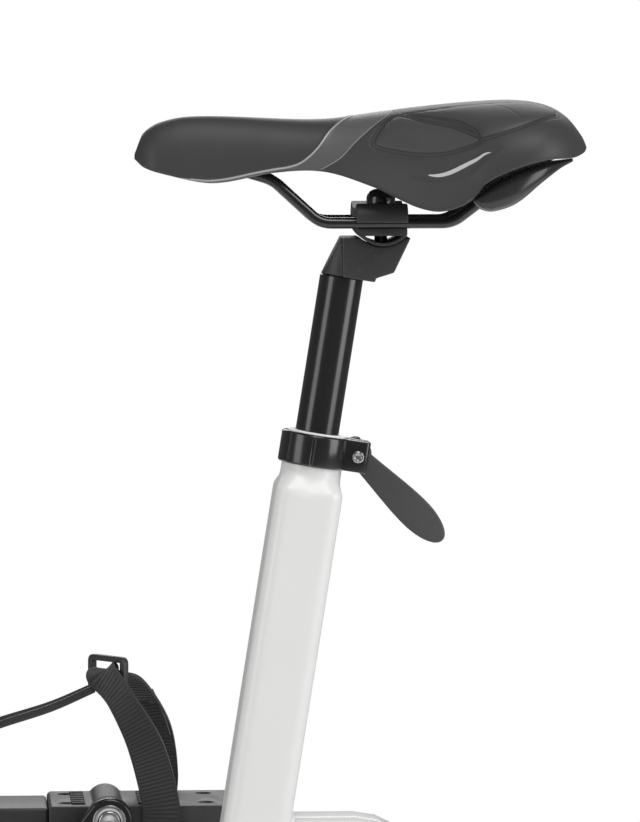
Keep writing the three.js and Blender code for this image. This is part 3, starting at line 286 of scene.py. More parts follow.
def skin(name, rings, closed_ends=True):
    """A skin over rings of points, made from a grid that is wrapped round and sewn along its seam."""
    rings = np.asarray(rings, float)
    count, around = rings.shape[:2]
    bpy.ops.mesh.primitive_grid_add(x_subdivisions=around, y_subdivisions=count - 1, size=2)
    piece = bpy.context.object
    piece.name = name
    wrapped = np.concatenate([rings, rings[:, :1]], axis=1)
    piece.data.vertices.foreach_set("co", wrapped.reshape(-1).astype(np.float32))
    bpy.ops.object.mode_set(mode="EDIT")
    bpy.ops.mesh.select_all(action="SELECT")
    bpy.ops.mesh.remove_doubles(threshold=1e-6)
    if closed_ends:
        bpy.ops.mesh.select_all(action="SELECT")
        bpy.ops.mesh.fill_holes(sides=0)
    bpy.ops.mesh.select_all(action="SELECT")
    bpy.ops.mesh.normals_make_consistent(inside=False)
    close_edit()
    return piece


def arc(x, z, radius, start, end, steps=10):
    angles = np.radians(np.linspace(start, end, steps + 1))
    return [(x + radius * math.cos(a), z + radius * math.sin(a)) for a in angles]

# %% [markdown]
# A copy of a working piece keeps its exact shape. Its loose triangles are merged, flat areas are
# made one face again, and then its edges can be rounded as a casting or a moulding has them.

# %% Pieces taken over from the working model, and finishing any piece
def taken_over(node, edge, steps=2, angle=30, smooth=38):
    piece = bpy.data.objects.new(f"{node}_finished", frame["nodes"][node].data.copy())
    bpy.context.scene.collection.objects.link(piece)
    only(piece)
    bpy.ops.object.mode_set(mode="EDIT")
    bpy.ops.mesh.select_all(action="SELECT")
    bpy.ops.mesh.remove_doubles(threshold=0.05 * MM)
    bpy.ops.mesh.dissolve_limited(angle_limit=math.radians(1))
    close_edit()
    return rounded(piece, edge, steps, angle, smooth)


finishes = {}


def settle(piece, body, slot, *nodes, place=None, finish=None):
    """The last step for every piece: into its place, given its finish, and tied to its body."""
    only(piece)
    if place is not None:
        piece.matrix_world = place @ piece.matrix_world
    bpy.ops.object.transform_apply(location=True, rotation=True, scale=True)
    piece.data.materials.clear()
    piece.data.materials.append(finishes[finish or slot])
    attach(piece, body)
    if nodes:
        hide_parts(*nodes)
    return piece


def mirror_copy(piece, name):
    """A copy on the other side of the bike, as its own mesh with its faces turned out again."""
    copy = bpy.data.objects.new(name, piece.data.copy())
    bpy.context.scene.collection.objects.link(copy)
    copy.data.transform(Matrix.Scale(-1, 4, Vector((0, 1, 0))))
    copy.data.flip_normals()
    return copy

# %% [markdown]
# ## Finishes
# A finish is a small network of shader nodes. Written out node by node it is hard to read, so a
# socket is wrapped in a class that knows plus, minus and times, and sums read as sums.

# %% Sums on sockets
class Socket:
    def __init__(self, recipe, link):
        self.recipe = recipe
        self.link = link

    def sum(self, operation, first, second=0.0):
        return self.recipe.sum(operation, first, second)

    def __add__(self, other):
        return self.sum("ADD", self, other)

    __radd__ = __add__

    def __sub__(self, other):
        return self.sum("SUBTRACT", self, other)

    def __rsub__(self, other):
        return self.sum("SUBTRACT", other, self)

    def __mul__(self, other):
        return self.sum("MULTIPLY", self, other)

    __rmul__ = __mul__

    def __truediv__(self, other):
        return self.sum("DIVIDE", self, other)

    def __abs__(self):
        return self.sum("ABSOLUTE", self)

    def below(self, limit, blur):
        """1 where the value is under the limit, fading to 0 over the blur."""
        return self.recipe.node(
            "ShaderNodeMapRange", {"clamp": True, "interpolation_type": "SMOOTHSTEP"},
            {"Value": self, "From Min": limit - blur / 2, "From Max": limit + blur / 2,
             "To Min": 1.0, "To Max": 0.0})

    def above(self, limit, blur):
        return 1 - self.below(limit, blur)


class Recipe:
    """One finish being put together. node() adds any node and gives its first output."""

    def __init__(self, name):
        self.material = bpy.data.materials.new(name)
        self.material.use_nodes = True
        self.tree = self.material.node_tree
        self.tree.nodes.clear()
        self.place = self.node("ShaderNodeTexCoord", output="Object")

    def node(self, kind, settings=None, inputs=None, output=0):
        made = self.tree.nodes.new(kind)
        for key, value in (settings or {}).items():
            if key == "stops":
                ramp = made.color_ramp
                while len(ramp.elements) < len(value):
                    ramp.elements.new(0.5)
                for element, (position, shade) in zip(ramp.elements, value):
                    element.position = position
                    element.color = (*shade, 1) if hasattr(shade, "__len__") else (shade,) * 3 + (1,)
            else:
                setattr(made, key, value)
        for key, value in (inputs or {}).items():
            if isinstance(value, Socket):
                self.tree.links.new(value.link, made.inputs[key])
            else:
                made.inputs[key].default_value = value
        return Socket(self, made.outputs[output]) if output is not None else None

    def sum(self, operation, first, second=0.0):
        return self.node("ShaderNodeMath", {"operation": operation}, {0: first, 1: second})

    def noise(self, size, detail=3.0, roughness=0.55, at=None, output=0):
        """Cloudy variation with features of about the given size, in metres."""
        return self.node("ShaderNodeTexNoise", {}, {
            "Vector": at or self.place, "Scale": 1 / size, "Detail": detail,
            "Roughness": roughness}, output)

    def stretched(self, x, y, z):
        return self.node("ShaderNodeMapping", {}, {"Vector": self.place, "Scale": (x, y, z)})

    def cells(self, size, feature="F1", at=None):
        return self.node("ShaderNodeTexVoronoi", {"feature": feature},
                         {"Vector": at or self.place, "Scale": 1 / size})

    def colour(self, mask, dark, light):
        return self.node("ShaderNodeMix", {"data_type": "RGBA"},
                         {0: mask, 6: dark, 7: light}, output=2)

    def bump(self, height, depth, strength=1.0, under=None):
        inputs = {"Height": height, "Distance": depth, "Strength": strength}
        if under:
            inputs["Normal"] = under
        return self.node("ShaderNodeBump", {}, inputs)

    def attribute(self, name):
        return self.node("ShaderNodeAttribute", {"attribute_name": name}, output="Fac")

    def finish(self, colour, roughness, metallic=0.0, normal=None, **fixed):
        shader = self.node("ShaderNodeBsdfPrincipled", {}, {
            "Base Color": colour, "Roughness": roughness, "Metallic": metallic,
            **({"Normal": normal} if normal else {}),
            **{key.replace("_", " ").title().replace("Ior", "IOR"): value
               for key, value in fixed.items()}})
        self.node("ShaderNodeOutputMaterial", {}, {"Surface": shader}, output=None)
        return self.material


def grey(value, tint=(1, 1, 1)):
    return tuple(value * part for part in tint) + (1,)

# %% [markdown]
# ## Floor and studio light
# A pale round floor fades out before its edge, so no horizon cuts behind the bike. The room is white
# to the camera, gives part of that as light, and is dim in reflections, or every black piece would
# turn grey. Two wide softboxes left and right of the camera draw the bright bands on the round post.

# %% Floor
FLOOR_RADIUS = 2.6
bpy.ops.mesh.primitive_circle_add(vertices=96, radius=FLOOR_RADIUS, fill_type="NGON",
                                  location=(0, 0, -0.3 * MM))
floor = bpy.context.object
floor.name = "studio_floor"
recipe = Recipe("pale_floor")
distance = recipe.node("ShaderNodeVectorMath", {"operation": "LENGTH"}, {0: recipe.place}, output="Value")
fade = distance.below(FLOOR_RADIUS * 0.72, FLOOR_RADIUS * 0.5)
speckle = recipe.noise(14 * MM, 4.0)
matt = recipe.node("ShaderNodeBsdfDiffuse", {}, {"Color": recipe.colour(speckle, grey(0.86), grey(0.9))})
clear = recipe.node("ShaderNodeBsdfTransparent")
both = recipe.node("ShaderNodeMixShader", {}, {0: fade, 1: clear, 2: matt})
recipe.node("ShaderNodeOutputMaterial", {}, {"Surface": both}, output=None)
floor.data.materials.append(recipe.material)

# %% Room and softboxes
ROOM_LIGHT = 0.62
MIRRORED_ROOM = 0.14
world = bpy.data.worlds.new("studio")
bpy.context.scene.world = world
world.use_nodes = True
nodes, links = world.node_tree.nodes, world.node_tree.links
nodes.clear()
seen = nodes.new("ShaderNodeBackground")
seen.inputs["Color"].default_value = (1, 1, 1, 1)
felt = nodes.new("ShaderNodeBackground")
felt.inputs["Color"].default_value = (1, 1, 1, 1)
felt.inputs["Strength"].default_value = ROOM_LIGHT
mirrored = nodes.new("ShaderNodeBackground")
mirrored.inputs["Color"].default_value = (1, 1, 1, 1)
mirrored.inputs["Strength"].default_value = MIRRORED_ROOM
path = nodes.new("ShaderNodeLightPath")
gloss_mix = nodes.new("ShaderNodeMixShader")
mix = nodes.new("ShaderNodeMixShader")
out = nodes.new("ShaderNodeOutputWorld")
links.new(path.outputs["Is Glossy Ray"], gloss_mix.inputs[0])
links.new(felt.outputs[0], gloss_mix.inputs[1])
links.new(mirrored.outputs[0], gloss_mix.inputs[2])
links.new(path.outputs["Is Camera Ray"], mix.inputs[0])
links.new(gloss_mix.outputs[0], mix.inputs[1])
links.new(seen.outputs[0], mix.inputs[2])
links.new(mix.outputs[0], out.inputs[0])
bpy.context.scene.view_settings.view_transform = "Standard"


def softbox(name, bearing, distance, height, size, power):
    """A soft light on a bearing round the seat, in degrees from the camera's side to the rear."""
    turn = math.radians(bearing)
    aim = Vector((CAMERA_AIM.x, 0, CAMERA_AIM.z))
    spot = aim + Vector((-math.sin(turn) * distance, math.cos(turn) * distance, height))
    bpy.ops.object.light_add(type="AREA", location=spot)
    light = bpy.context.object
    light.name = name
    light.data.shape = "RECTANGLE"
    light.data.size, light.data.size_y = size
    light.data.energy = power
    light.rotation_euler = (aim - spot).to_track_quat("-Z", "Y").to_euler()


softbox("rear_softbox", 62, 2.4, 0.5, (1.3, 2.2), 34)
softbox("front_softbox", -58, 2.6, 0.4, (1.1, 2.0), 18)
softbox("top_softbox", 20, 1.2, 2.3, (1.6, 1.2), 30)
softbox("far_side_softbox", 180, 2.6, 1.2, (2.0, 1.2), 24)

# %% [markdown]
# Powder paint is a thin plastic coat: almost even in colour, a little uneven in gloss, with the
# faint ripple that painters call orange peel. Dust and handling dull it in soft clouds.

# %% Painted steel
def powder_paint(name, shade, warm=(1, 1, 0.985)):
    recipe = Recipe(name)
    peel = recipe.noise(1.6 * MM, 2.0)
    cloud = recipe.noise(90 * MM, 4.0)
    specks = recipe.noise(0.5 * MM, 1.0).above(0.72, 0.06)
    colour = recipe.colour(cloud * 0.7 + specks * 0.25, grey(shade, warm), grey(shade * 0.9))
    roughness = 0.3 + cloud * 0.16 + specks * 0.1
    normal = recipe.bump(peel, 0.05 * MM, 0.5, recipe.bump(cloud, 0.3 * MM, 0.2))
    return recipe.finish(colour, roughness, 0.0, normal, coat_weight=0.25, coat_roughness=0.12)


finishes["white_paint"] = powder_paint("white_powder_paint", 0.63)
finishes["grey_paint"] = powder_paint("grey_powder_paint", 0.53)

# %% [markdown]
# The seat post and the collar are black and shiny, but not like glass: fine drawing marks run along
# the tube, and sliding in and out has left hair scratches. Cast clamps are duller and slightly grainy.

# %% Black metal
def black_metal(name, shade, gloss, grain, metallic=0.0, drawn=(1, 1, 1), coat=0.0):
    recipe = Recipe(name)
    marks = recipe.noise(0.9 * MM, 4.0, at=recipe.stretched(*drawn))
    cloud = recipe.noise(35 * MM, 3.0)
    scratch = recipe.noise(2.2 * MM, 5.0, 0.8, at=recipe.stretched(*drawn)).above(0.68, 0.05)
    colour = recipe.colour(scratch * 0.5 + cloud * 0.3, grey(shade), grey(shade * 2.6))
    roughness = gloss + cloud * 0.08 + marks * 0.08 + scratch * 0.1
    normal = recipe.bump(marks, grain, 0.6)
    return recipe.finish(colour, roughness, metallic, normal, coat_weight=coat, coat_roughness=0.08)


finishes["black_gloss"] = black_metal("gloss_black", 0.008, 0.14, 0.02 * MM, 0.0, (1, 1, 0.08), 0.3)
finishes["black_metal"] = black_metal("anodised_black", 0.014, 0.3, 0.05 * MM, 0.2)
finishes["cast_black"] = black_metal("cast_black", 0.02, 0.42, 0.12 * MM)

# %% [markdown]
# Moulded plastic takes the texture of its mould: tiny rounded cells that break up the shine. Worn
# and dusty spots, in soft random clouds, change its colour. The same recipe serves for hard, soft, dark and
# pale plastic.

# %% Moulded plastic and rubber
def moulded(name, shade, gloss, cell, depth, tint=(1, 1, 1), wear=1.6, **fixed):
    recipe = Recipe(name)
    grain = recipe.cells(cell, "SMOOTH_F1")
    flow = recipe.noise(28 * MM, 4.0)
    dust = recipe.noise(3 * MM, 5.0, 0.7).above(0.6, 0.12)
    colour = recipe.colour(flow * 0.6 + dust * 0.4, grey(shade, tint), grey(shade * wear, tint))
    roughness = gloss + flow * 0.1 + dust * 0.08
    normal = recipe.bump(grain, depth, 0.55)
    return recipe.finish(colour, roughness, 0.0, normal, **fixed)


finishes["black_plastic"] = moulded("grained_black_plastic", 0.022, 0.4, 0.55 * MM, 0.08 * MM)
finishes["dark_plastic"] = moulded("soft_dark_plastic", 0.046, 0.5, 0.4 * MM, 0.05 * MM, (1, 1.02, 1.0), 1.2)
finishes["gloss_plastic"] = moulded("glossy_black_plastic", 0.018, 0.2, 1.2 * MM, 0.015 * MM)
finishes["white_plastic"] = moulded("satin_white_plastic", 0.74, 0.32, 0.7 * MM, 0.03 * MM,
                                    (1, 1, 0.985), 0.93)
finishes["rubber"] = moulded("black_rubber", 0.016, 0.68, 0.8 * MM, 0.1 * MM, wear=2.2)
finishes["reflector"] = moulded("clear_white_reflector", 0.75, 0.15, 1.6 * MM, 0.3 * MM, wear=0.9,
                                coat_weight=0.6)

# %% [markdown]
# Plated steel mirrors the room. What tells it from glass is a fine lengthwise brushing and a few
# dull spots. The flywheel is cast iron, painted and turned, so its marks run in rings round its axle.

# %% Bright steel, chrome and the turned flywheel
def plated(name, shade, gloss, brush):
    recipe = Recipe(name)
    brushing = recipe.noise(0.35 * MM, 3.0, at=recipe.stretched(1, 0.06, 1))
    spots = recipe.noise(7 * MM, 5.0, 0.7).above(0.62, 0.1)
    colour = recipe.colour(spots, grey(shade), grey(shade * 0.72, (1, 0.99, 0.96)))
    return recipe.finish(colour, gloss + brushing * 0.1 + spots * 0.16, 1.0,
                         recipe.bump(brushing, brush, 0.4))


def turned_iron(name, shade):
    recipe = Recipe(name)
    centred = recipe.node("ShaderNodeMapping", {}, {"Vector": recipe.place,
                                                    "Location": (-FLY_AXLE.x, 0, -FLY_AXLE.z)})
    rings = recipe.node("ShaderNodeTexWave", {"wave_type": "RINGS", "rings_direction": "Y"},
                        {"Vector": centred, "Scale": 180.0, "Distortion": 0.6, "Detail": 3.0})
    cloud = recipe.noise(60 * MM, 5.0, 0.65)
    colour = recipe.colour(cloud, grey(shade), grey(shade * 1.9))
    return recipe.finish(colour, 0.3 + cloud * 0.22 + rings * 0.06, 0.35,
                         recipe.bump(rings, 0.06 * MM, 0.4))


finishes["bright_steel"] = plated("plated_steel", 0.55, 0.2, 0.03 * MM)
finishes["chrome"] = plated("chrome_plate", 0.62, 0.06, 0.01 * MM)
finishes["iron"] = turned_iron("turned_flywheel_iron", 0.045)

# %% [markdown]
# Webbing is woven across its length, so its ribs are drawn in the strap's own UV map: U counts along
# the strap in millimetres and V across it. A woven edge is darker and denser than the middle.

# %% Webbing
def woven_webbing(name):
    recipe = Recipe(name)
    uv = recipe.node("ShaderNodeUVMap", {"uv_map": "along_strap"})
    parts = recipe.tree.nodes.new("ShaderNodeSeparateXYZ")
    recipe.tree.links.new(uv.link, parts.inputs[0])
    along, across = Socket(recipe, parts.outputs[0]), Socket(recipe, parts.outputs[1])
    ribs = recipe.sum("SINE", along * (2 * math.pi / 2.5))
    twill = recipe.sum("SINE", (along + across * 1.0) * (2 * math.pi / 1.1))
    fuzz = recipe.noise(0.3 * MM, 3.0)
    edge = abs(across).above(10.4, 0.8)
    weave = ribs * (1 - edge) + twill * 0.35
    colour = recipe.colour(weave * 0.35 + fuzz * 0.5 + 0.1, grey(0.006), grey(0.034))
    return recipe.finish(colour, 0.78 + fuzz * 0.12, 0.0, recipe.bump(weave + fuzz * 0.5, 0.28 * MM, 0.9),
                         sheen_weight=0.25, sheen_roughness=0.5)


finishes["webbing"] = woven_webbing("ribbed_webbing")

# %% [markdown]
# The saddle's cover is a grained synthetic leather in three greys. The mesh carries, at each of its
# points, how far that point is from every seam in millimetres. The finish turns those distances into
# crisp seams, a lighter band, a silver piping and the inlay, however coarse the mesh is.

# %% Saddle cover
def saddle_cover(name):
    recipe = Recipe(name)
    piping = recipe.attribute("from_piping")
    second = recipe.attribute("from_second_seam")
    pads = recipe.attribute("from_pads")
    inlay = recipe.attribute("from_inlay")
    grain = recipe.cells(0.75 * MM, "SMOOTH_F1")
    creases = recipe.noise(1.4 * MM, 4.0, 0.6)
    cloud = recipe.noise(40 * MM, 3.0)
    in_band = piping.above(0.0, 0.3) * second.below(0.0, 0.3)
    in_pad = pads.below(-0.5, 0.5)
    silver_line = abs(piping).below(0.55, 0.25)
    thin_line = abs(second).below(0.28, 0.2)
    silver = inlay.below(0.0, 0.25)
    seam = abs(pads).below(0.35, 0.3) + abs(pads - 2.3).below(0.28, 0.3)
    cover = recipe.colour(cloud * 0.5 + creases * 0.3, grey(0.026, (0.97, 1.01, 1)), grey(0.042))
    cover = recipe.colour(in_band, cover, grey(0.075))
    cover = recipe.colour(in_pad * 0.35, cover, grey(0.06))
    cover = recipe.colour(seam * 0.75, cover, grey(0.014))
    cover = recipe.colour(thin_line * 0.7, cover, grey(0.26))
    cover = recipe.colour(silver_line, cover, grey(0.3))
    cover = recipe.colour(silver, cover, grey(0.42))
    bright = recipe.sum("MAXIMUM", silver_line, silver)
    roughness = 0.46 + creases * 0.12 - bright * 0.18 - in_band * 0.06
    leather = (grain * 0.7 + creases * 0.6) * (1 - bright)
    normal = recipe.bump(leather, 0.09 * MM, 0.55)
    return recipe.finish(cover, roughness, 0.0, normal, specular_ior_level=0.45)


finishes["saddle_vinyl"] = saddle_cover("saddle_cover")
print("finishes:", len(finishes))

# %% [markdown]
# ## Seat tube
# The seat tube is a square tube with rounded corners, swaged round at its top so that the collar can
# grip it. The press leaves a hollow with a curved lower lip on each flat. A skin over rings does
# this well: each ring is a mix of a rounded square and a circle, mixed later in the corners.

# %% Seat tube
TUBE_DEPTH, TUBE_WIDTH, TUBE_CORNER, NECK_RADIUS = 42 * MM, 50 * MM, 9 * MM, 19 * MM
TUBE_RIM = -0.8 * MM
SWAGE_LOW, SWAGE_LENGTH, LIP_DROP = -37 * MM, 15 * MM, 4 * MM


def rounded_square(depth, width, corner, corner_steps=7, side_steps=7):
    points = []
    for quarter, (sx, sy) in enumerate([(1, 1), (-1, 1), (-1, -1), (1, -1)]):
        centre = (sx * (depth / 2 - corner), sy * (width / 2 - corner))
        start = arc(*centre, corner, 90 * quarter, 90 * quarter + 90, corner_steps)
        following = [(-1, 1), (-1, -1), (1, -1), (1, 1)][quarter]
        next_centre = (following[0] * (depth / 2 - corner), following[1] * (width / 2 - corner))
        to = arc(*next_centre, corner, 90 * quarter + 90, 90 * quarter + 180, corner_steps)[0]
        points += start
        for i in range(1, side_steps):
            share = i / side_steps
            points.append(tuple(a + (b - a) * share for a, b in zip(start[-1], to)))
    return points


def swaged_ring(height):
    ring = []
    for x, y in rounded_square(TUBE_DEPTH, TUBE_WIDTH, TUBE_CORNER):
        turn = math.atan2(y, x)
        on_flat = 1 - abs(math.sin(2 * turn))
        share = (height - SWAGE_LOW + LIP_DROP * on_flat) / SWAGE_LENGTH
        share = min(max(share, 0), 1)
        share = share * share * (3 - 2 * share)
        ring.append((x + (NECK_RADIUS * math.cos(turn) - x) * share,
                     y + (NECK_RADIUS * math.sin(turn) - y) * share, height))
    return ring


tube_low, tube_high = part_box("seat_tube")
tube_length = (tube_high.z - tube_low.z) / SEAT_UP.z
heights = np.concatenate([np.linspace(-tube_length + 6 * MM, SWAGE_LOW - 16 * MM, 12),
                          np.linspace(SWAGE_LOW - 14 * MM, TUBE_RIM - 8 * MM, 44),
                          [TUBE_RIM - 1 * MM, TUBE_RIM]])
tube = skin("seat_tube_skin", [swaged_ring(height) for height in heights], closed_ends=False)
wall = tube.modifiers.new("wall", "SOLIDIFY")
wall.thickness = 1.7 * MM
wall.offset = -1
only(tube)
bpy.ops.object.modifier_apply(modifier="wall")
rounded(tube, 0)
settle(tube, "frame", "white_paint", "seat_tube", place=SEAT_FRAME)
print("seat tube:", round(tube_length, 3), "m long,", len(tube.data.polygons), "faces")

# %% [markdown]
# The tube is welded to the frame all round. A weld is a row of overlapping small ripples that follow
# the joint, then painted over. It is a bead skinned along the line where the two tubes meet.

# %% Weld beads
def weld(name, path, radius, body="frame", slot="white_paint", ripple=2.4 * MM):
    """A closed bead along points of a path, thick and thin in turn like laid weld metal."""
    path = [Vector(p) for p in path]
    dense = []
    for a, b in zip(path, path[1:] + path[:1]):
        steps = max(1, round((b - a).length / (ripple / 3)))
        dense += [a.lerp(b, i / steps) for i in range(steps)]
    centre = sum(dense, Vector()) / len(dense)
    rings = []
    for i, place in enumerate(dense):
        along = (dense[(i + 1) % len(dense)] - dense[i - 1]).normalized()
        out = place - centre
        out = (out - along * out.dot(along)).normalized()
        over = along.cross(out)
        size = radius * (1 + 0.13 * math.sin(2 * math.pi * i / 3))
        rings.append([place + (out * math.cos(a) + over * math.sin(a)) * size
                      for a in np.linspace(0, 2 * math.pi, 8, endpoint=False)])
    rings.append(rings[0])
    bead = skin(name, rings, closed_ends=False)
    rounded(bead, 0, smooth=80)
    return settle(bead, body, slot)


beam_low, beam_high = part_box("main_beam")
STABILIZER_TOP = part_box("rear_stabilizer")[1].z
rear_middle = (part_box("rear_stabilizer")[0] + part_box("rear_stabilizer")[1]) / 2
beam_direction = (BRACKET - Vector((rear_middle.x, 0, rear_middle.z))).normalized()
beam_up = Vector((-beam_direction.z, 0, beam_direction.x))
BEAM_HALF = 30 * MM


def on_beam_top(local):
    """Slides a point of the seat frame down the seat tube until it lies on the beam's top face."""
    place = SEAT_FRAME @ Vector(local)
    gap = (place - BRACKET).dot(beam_up) - BEAM_HALF
    return place - SEAT_UP * (gap / SEAT_UP.dot(beam_up))


seam = [on_beam_top((x, y, -0.4)) for x, y in rounded_square(TUBE_DEPTH, TUBE_WIDTH, TUBE_CORNER, 4, 2)]
weld("seat_tube_weld", seam, 2.4 * MM)
print("weld bead round the seat tube at height", round(seam[0].z, 3))

# %% [markdown]
# ## Collar, bush, skewer and lever
# The collar is a split ring that the lever's cam pulls shut. It is turned from bar, so it starts as
# a turned ring; shallow flutes are inset in its side, and two flat ears stand at its split.

# %% Seat collar
COLLAR_RADIUS, EAR_END, EAR_HALF, SLOT = 21.75 * MM, 34 * MM, 11 * MM, 2.5 * MM
ring = turned("seat_collar_ring", [
    (NECK_RADIUS + 0.3 * MM, -COLLAR_HEIGHT), (COLLAR_RADIUS - 1 * MM, -COLLAR_HEIGHT),
    (COLLAR_RADIUS, -COLLAR_HEIGHT + 1 * MM), (COLLAR_RADIUS, -1 * MM), (COLLAR_RADIUS - 1 * MM, 0),
    (NECK_RADIUS + 0.3 * MM, 0), (NECK_RADIUS + 0.3 * MM, -COLLAR_HEIGHT)], 120)


def flute(face):
    middle = face.calc_center_median()
    turn = math.degrees(math.atan2(middle.y, middle.x)) % 40
    outside = math.hypot(middle.x, middle.y) > COLLAR_RADIUS - 0.2 * MM
    return outside and turn < 6 and middle.x > -10 * MM and abs(face.normal.z) < 0.1


pick(ring, flute)
bpy.ops.mesh.inset(thickness=0.4 * MM, use_even_offset=True)
bpy.ops.transform.resize(value=(0.972, 0.972, 1), center_override=(0, 0, -COLLAR_HEIGHT / 2))
close_edit()
ears = []
for side in (1, -1):
    near, far = sorted((side * SLOT / 2, side * EAR_HALF))
    ear = block("ear", (-EAR_END, near, -COLLAR_HEIGHT + 0.2 * MM), (-NECK_RADIUS + 1 * MM, far, -0.2 * MM))
    pick(ear, lambda edge: abs(centre_of(edge).x + EAR_END) < 0.1 * MM
         and abs(abs(centre_of(edge).y) - EAR_HALF) < 0.1 * MM, "EDGE")
    bpy.ops.mesh.bevel(offset=3.2 * MM, segments=3)
    close_edit()
    ears.append(rounded(ear, 0.7 * MM))
collar = joined("seat_collar_turned", rounded(ring, 0.25 * MM, 2), *ears)
settle(collar, "frame", "black_gloss", "seat_collar", place=SEAT_FRAME)

bush = turned("seat_bush_turned", [
    (14 * MM, -14 * MM), (17 * MM, -14 * MM), (17 * MM, TUBE_RIM + 0.3 * MM),
    (18.5 * MM, TUBE_RIM + 0.3 * MM), (18.5 * MM, TUBE_RIM + 1.3 * MM), (18 * MM, TUBE_RIM + 1.8 * MM),
    (14.5 * MM, TUBE_RIM + 1.8 * MM), (14 * MM, TUBE_RIM + 1.3 * MM), (14 * MM, -14 * MM)], 96)
settle(rounded(bush, 0), "frame", "white_plastic", "seat_bush", place=SEAT_FRAME)
print("collar faces:", len(collar.data.polygons))

# %% [markdown]
# The nut that the skewer screws into sits in the near ear: a plated disc with a dished centre. The
# lever's blade is leaf shaped. Its head is a disc, cut back so that it clears the collar as it swings.

# %% Skewer, nut and quick-release lever
LEVER_DROP = math.radians(45)
seat_lean = math.atan2(-SEAT_UP.x, SEAT_UP.z)
LEVER_FRAME = (SEAT_FRAME @ Matrix.Translation((-SKEWER_BEHIND, LEVER_PIN.y, -COLLAR_HEIGHT / 2))
               @ Matrix.Rotation(math.pi - LEVER_DROP + seat_lean, 4, "Y"))
NUT_FACE = EAR_HALF - LEVER_PIN.y + 0.2 * MM
nut = turned("skewer_nut_turned", [
    (3.8 * MM, NUT_FACE - 6 * MM), (3.8 * MM, NUT_FACE + 1.2 * MM), (3.2 * MM, NUT_FACE + 1.8 * MM),
    (2.3 * MM, NUT_FACE + 1.8 * MM), (1.9 * MM, NUT_FACE + 0.6 * MM), (0.4 * MM, NUT_FACE + 0.5 * MM)], 48)
settle(rounded(nut, 0.15 * MM, 2), "frame", "bright_steel", "skewer_nut", place=LEVER_FRAME @ AXLE_TURN)
rod = turned("skewer_rod", [(2.5 * MM, 0.5 * MM), (2.5 * MM, NUT_FACE - 6 * MM)], 32)
pin = turned("cam_pin", [(3 * MM, -7.6 * MM), (3 * MM, 7.6 * MM)], 32)
rod.data.transform(AXLE_TURN)
settle(joined("skewer_turned", rounded(rod, 0.2 * MM, 2), rounded(pin, 0.4 * MM, 2)), "frame",
       "bright_steel", "skewer", place=LEVER_FRAME)


def curve(start, first, second, end, steps=12):
    points = []
    for i in range(steps):
        t = i / steps
        points.append(tuple(
            a * (1 - t) ** 3 + 3 * b * t * (1 - t) ** 2 + 3 * c * t * t * (1 - t) + d * t ** 3
            for a, b, c, d in zip(start, first, second, end)))
    return points


BLADE_LENGTH, BELLY, ROOT, CAM = 79, 10.3, 6.2, 9
lower_edge = curve((0, -ROOT), (20, -ROOT - 1), (38, -BELLY), (54, -BELLY))
lower_edge += curve((54, -BELLY), (67, -BELLY), (BLADE_LENGTH, -0.6 * BELLY), (BLADE_LENGTH, 0))
upper_edge = [(x, -z) for x, z in reversed(lower_edge)]
blade_outline = [(x * MM, z * MM) for x, z in lower_edge + [(BLADE_LENGTH, 0)] + upper_edge]
blade = plate("quick_release_blade", blade_outline, -CAM * MM, (-CAM + 5) * MM)
rounded(blade, 1.3 * MM, 4, 50)
cam = turned("cam", [(CAM * MM, -CAM * MM), (CAM * MM, CAM * MM)], 64)
HEAD_RADIUS = 10.3


def outside_head():
    """What lies beyond the lever's round head: cutting it away leaves the cam round both ways."""
    beyond = turned("beyond", [(HEAD_RADIUS * MM, -20 * MM), (30 * MM, -20 * MM), (30 * MM, 20 * MM),
                               (HEAD_RADIUS * MM, 20 * MM), (HEAD_RADIUS * MM, -20 * MM)], 64)
    beyond.data.transform(AXLE_TURN)
    return beyond


slot = block("slot", (-20 * MM, -3 * MM, -3 * MM), (20 * MM, 20 * MM, 3 * MM))
rounded(drilled(cam, outside_head(), slot), 0.6 * MM, 3)
disc = turned("lever_head", [
    (9.2 * MM, -CAM * MM), (HEAD_RADIUS * MM, (-CAM + 1.1) * MM), (HEAD_RADIUS * MM, (-CAM + 4) * MM),
    (9.4 * MM, (-CAM + 5) * MM)], 64)
disc.data.transform(AXLE_TURN)
EAR_CLEARANCE, HEAD_NARROW = 9.2, 8.5
behind = block("behind", (-30 * MM, -30 * MM, -30 * MM), (1.5 * MM, 30 * MM, 30 * MM))
kept = turned("kept", [(EAR_CLEARANCE * MM, -HEAD_NARROW * MM), (EAR_CLEARANCE * MM, HEAD_NARROW * MM)], 64)
rounded(drilled(disc, drilled(behind, kept)), 0.2 * MM, 2)
lever = joined("quick_release_lever_moulded", blade, disc, cam)
settle(lever, "lever", "dark_plastic", "quick_release_lever", place=LEVER_FRAME)
print("lever faces:", len(lever.data.polygons))
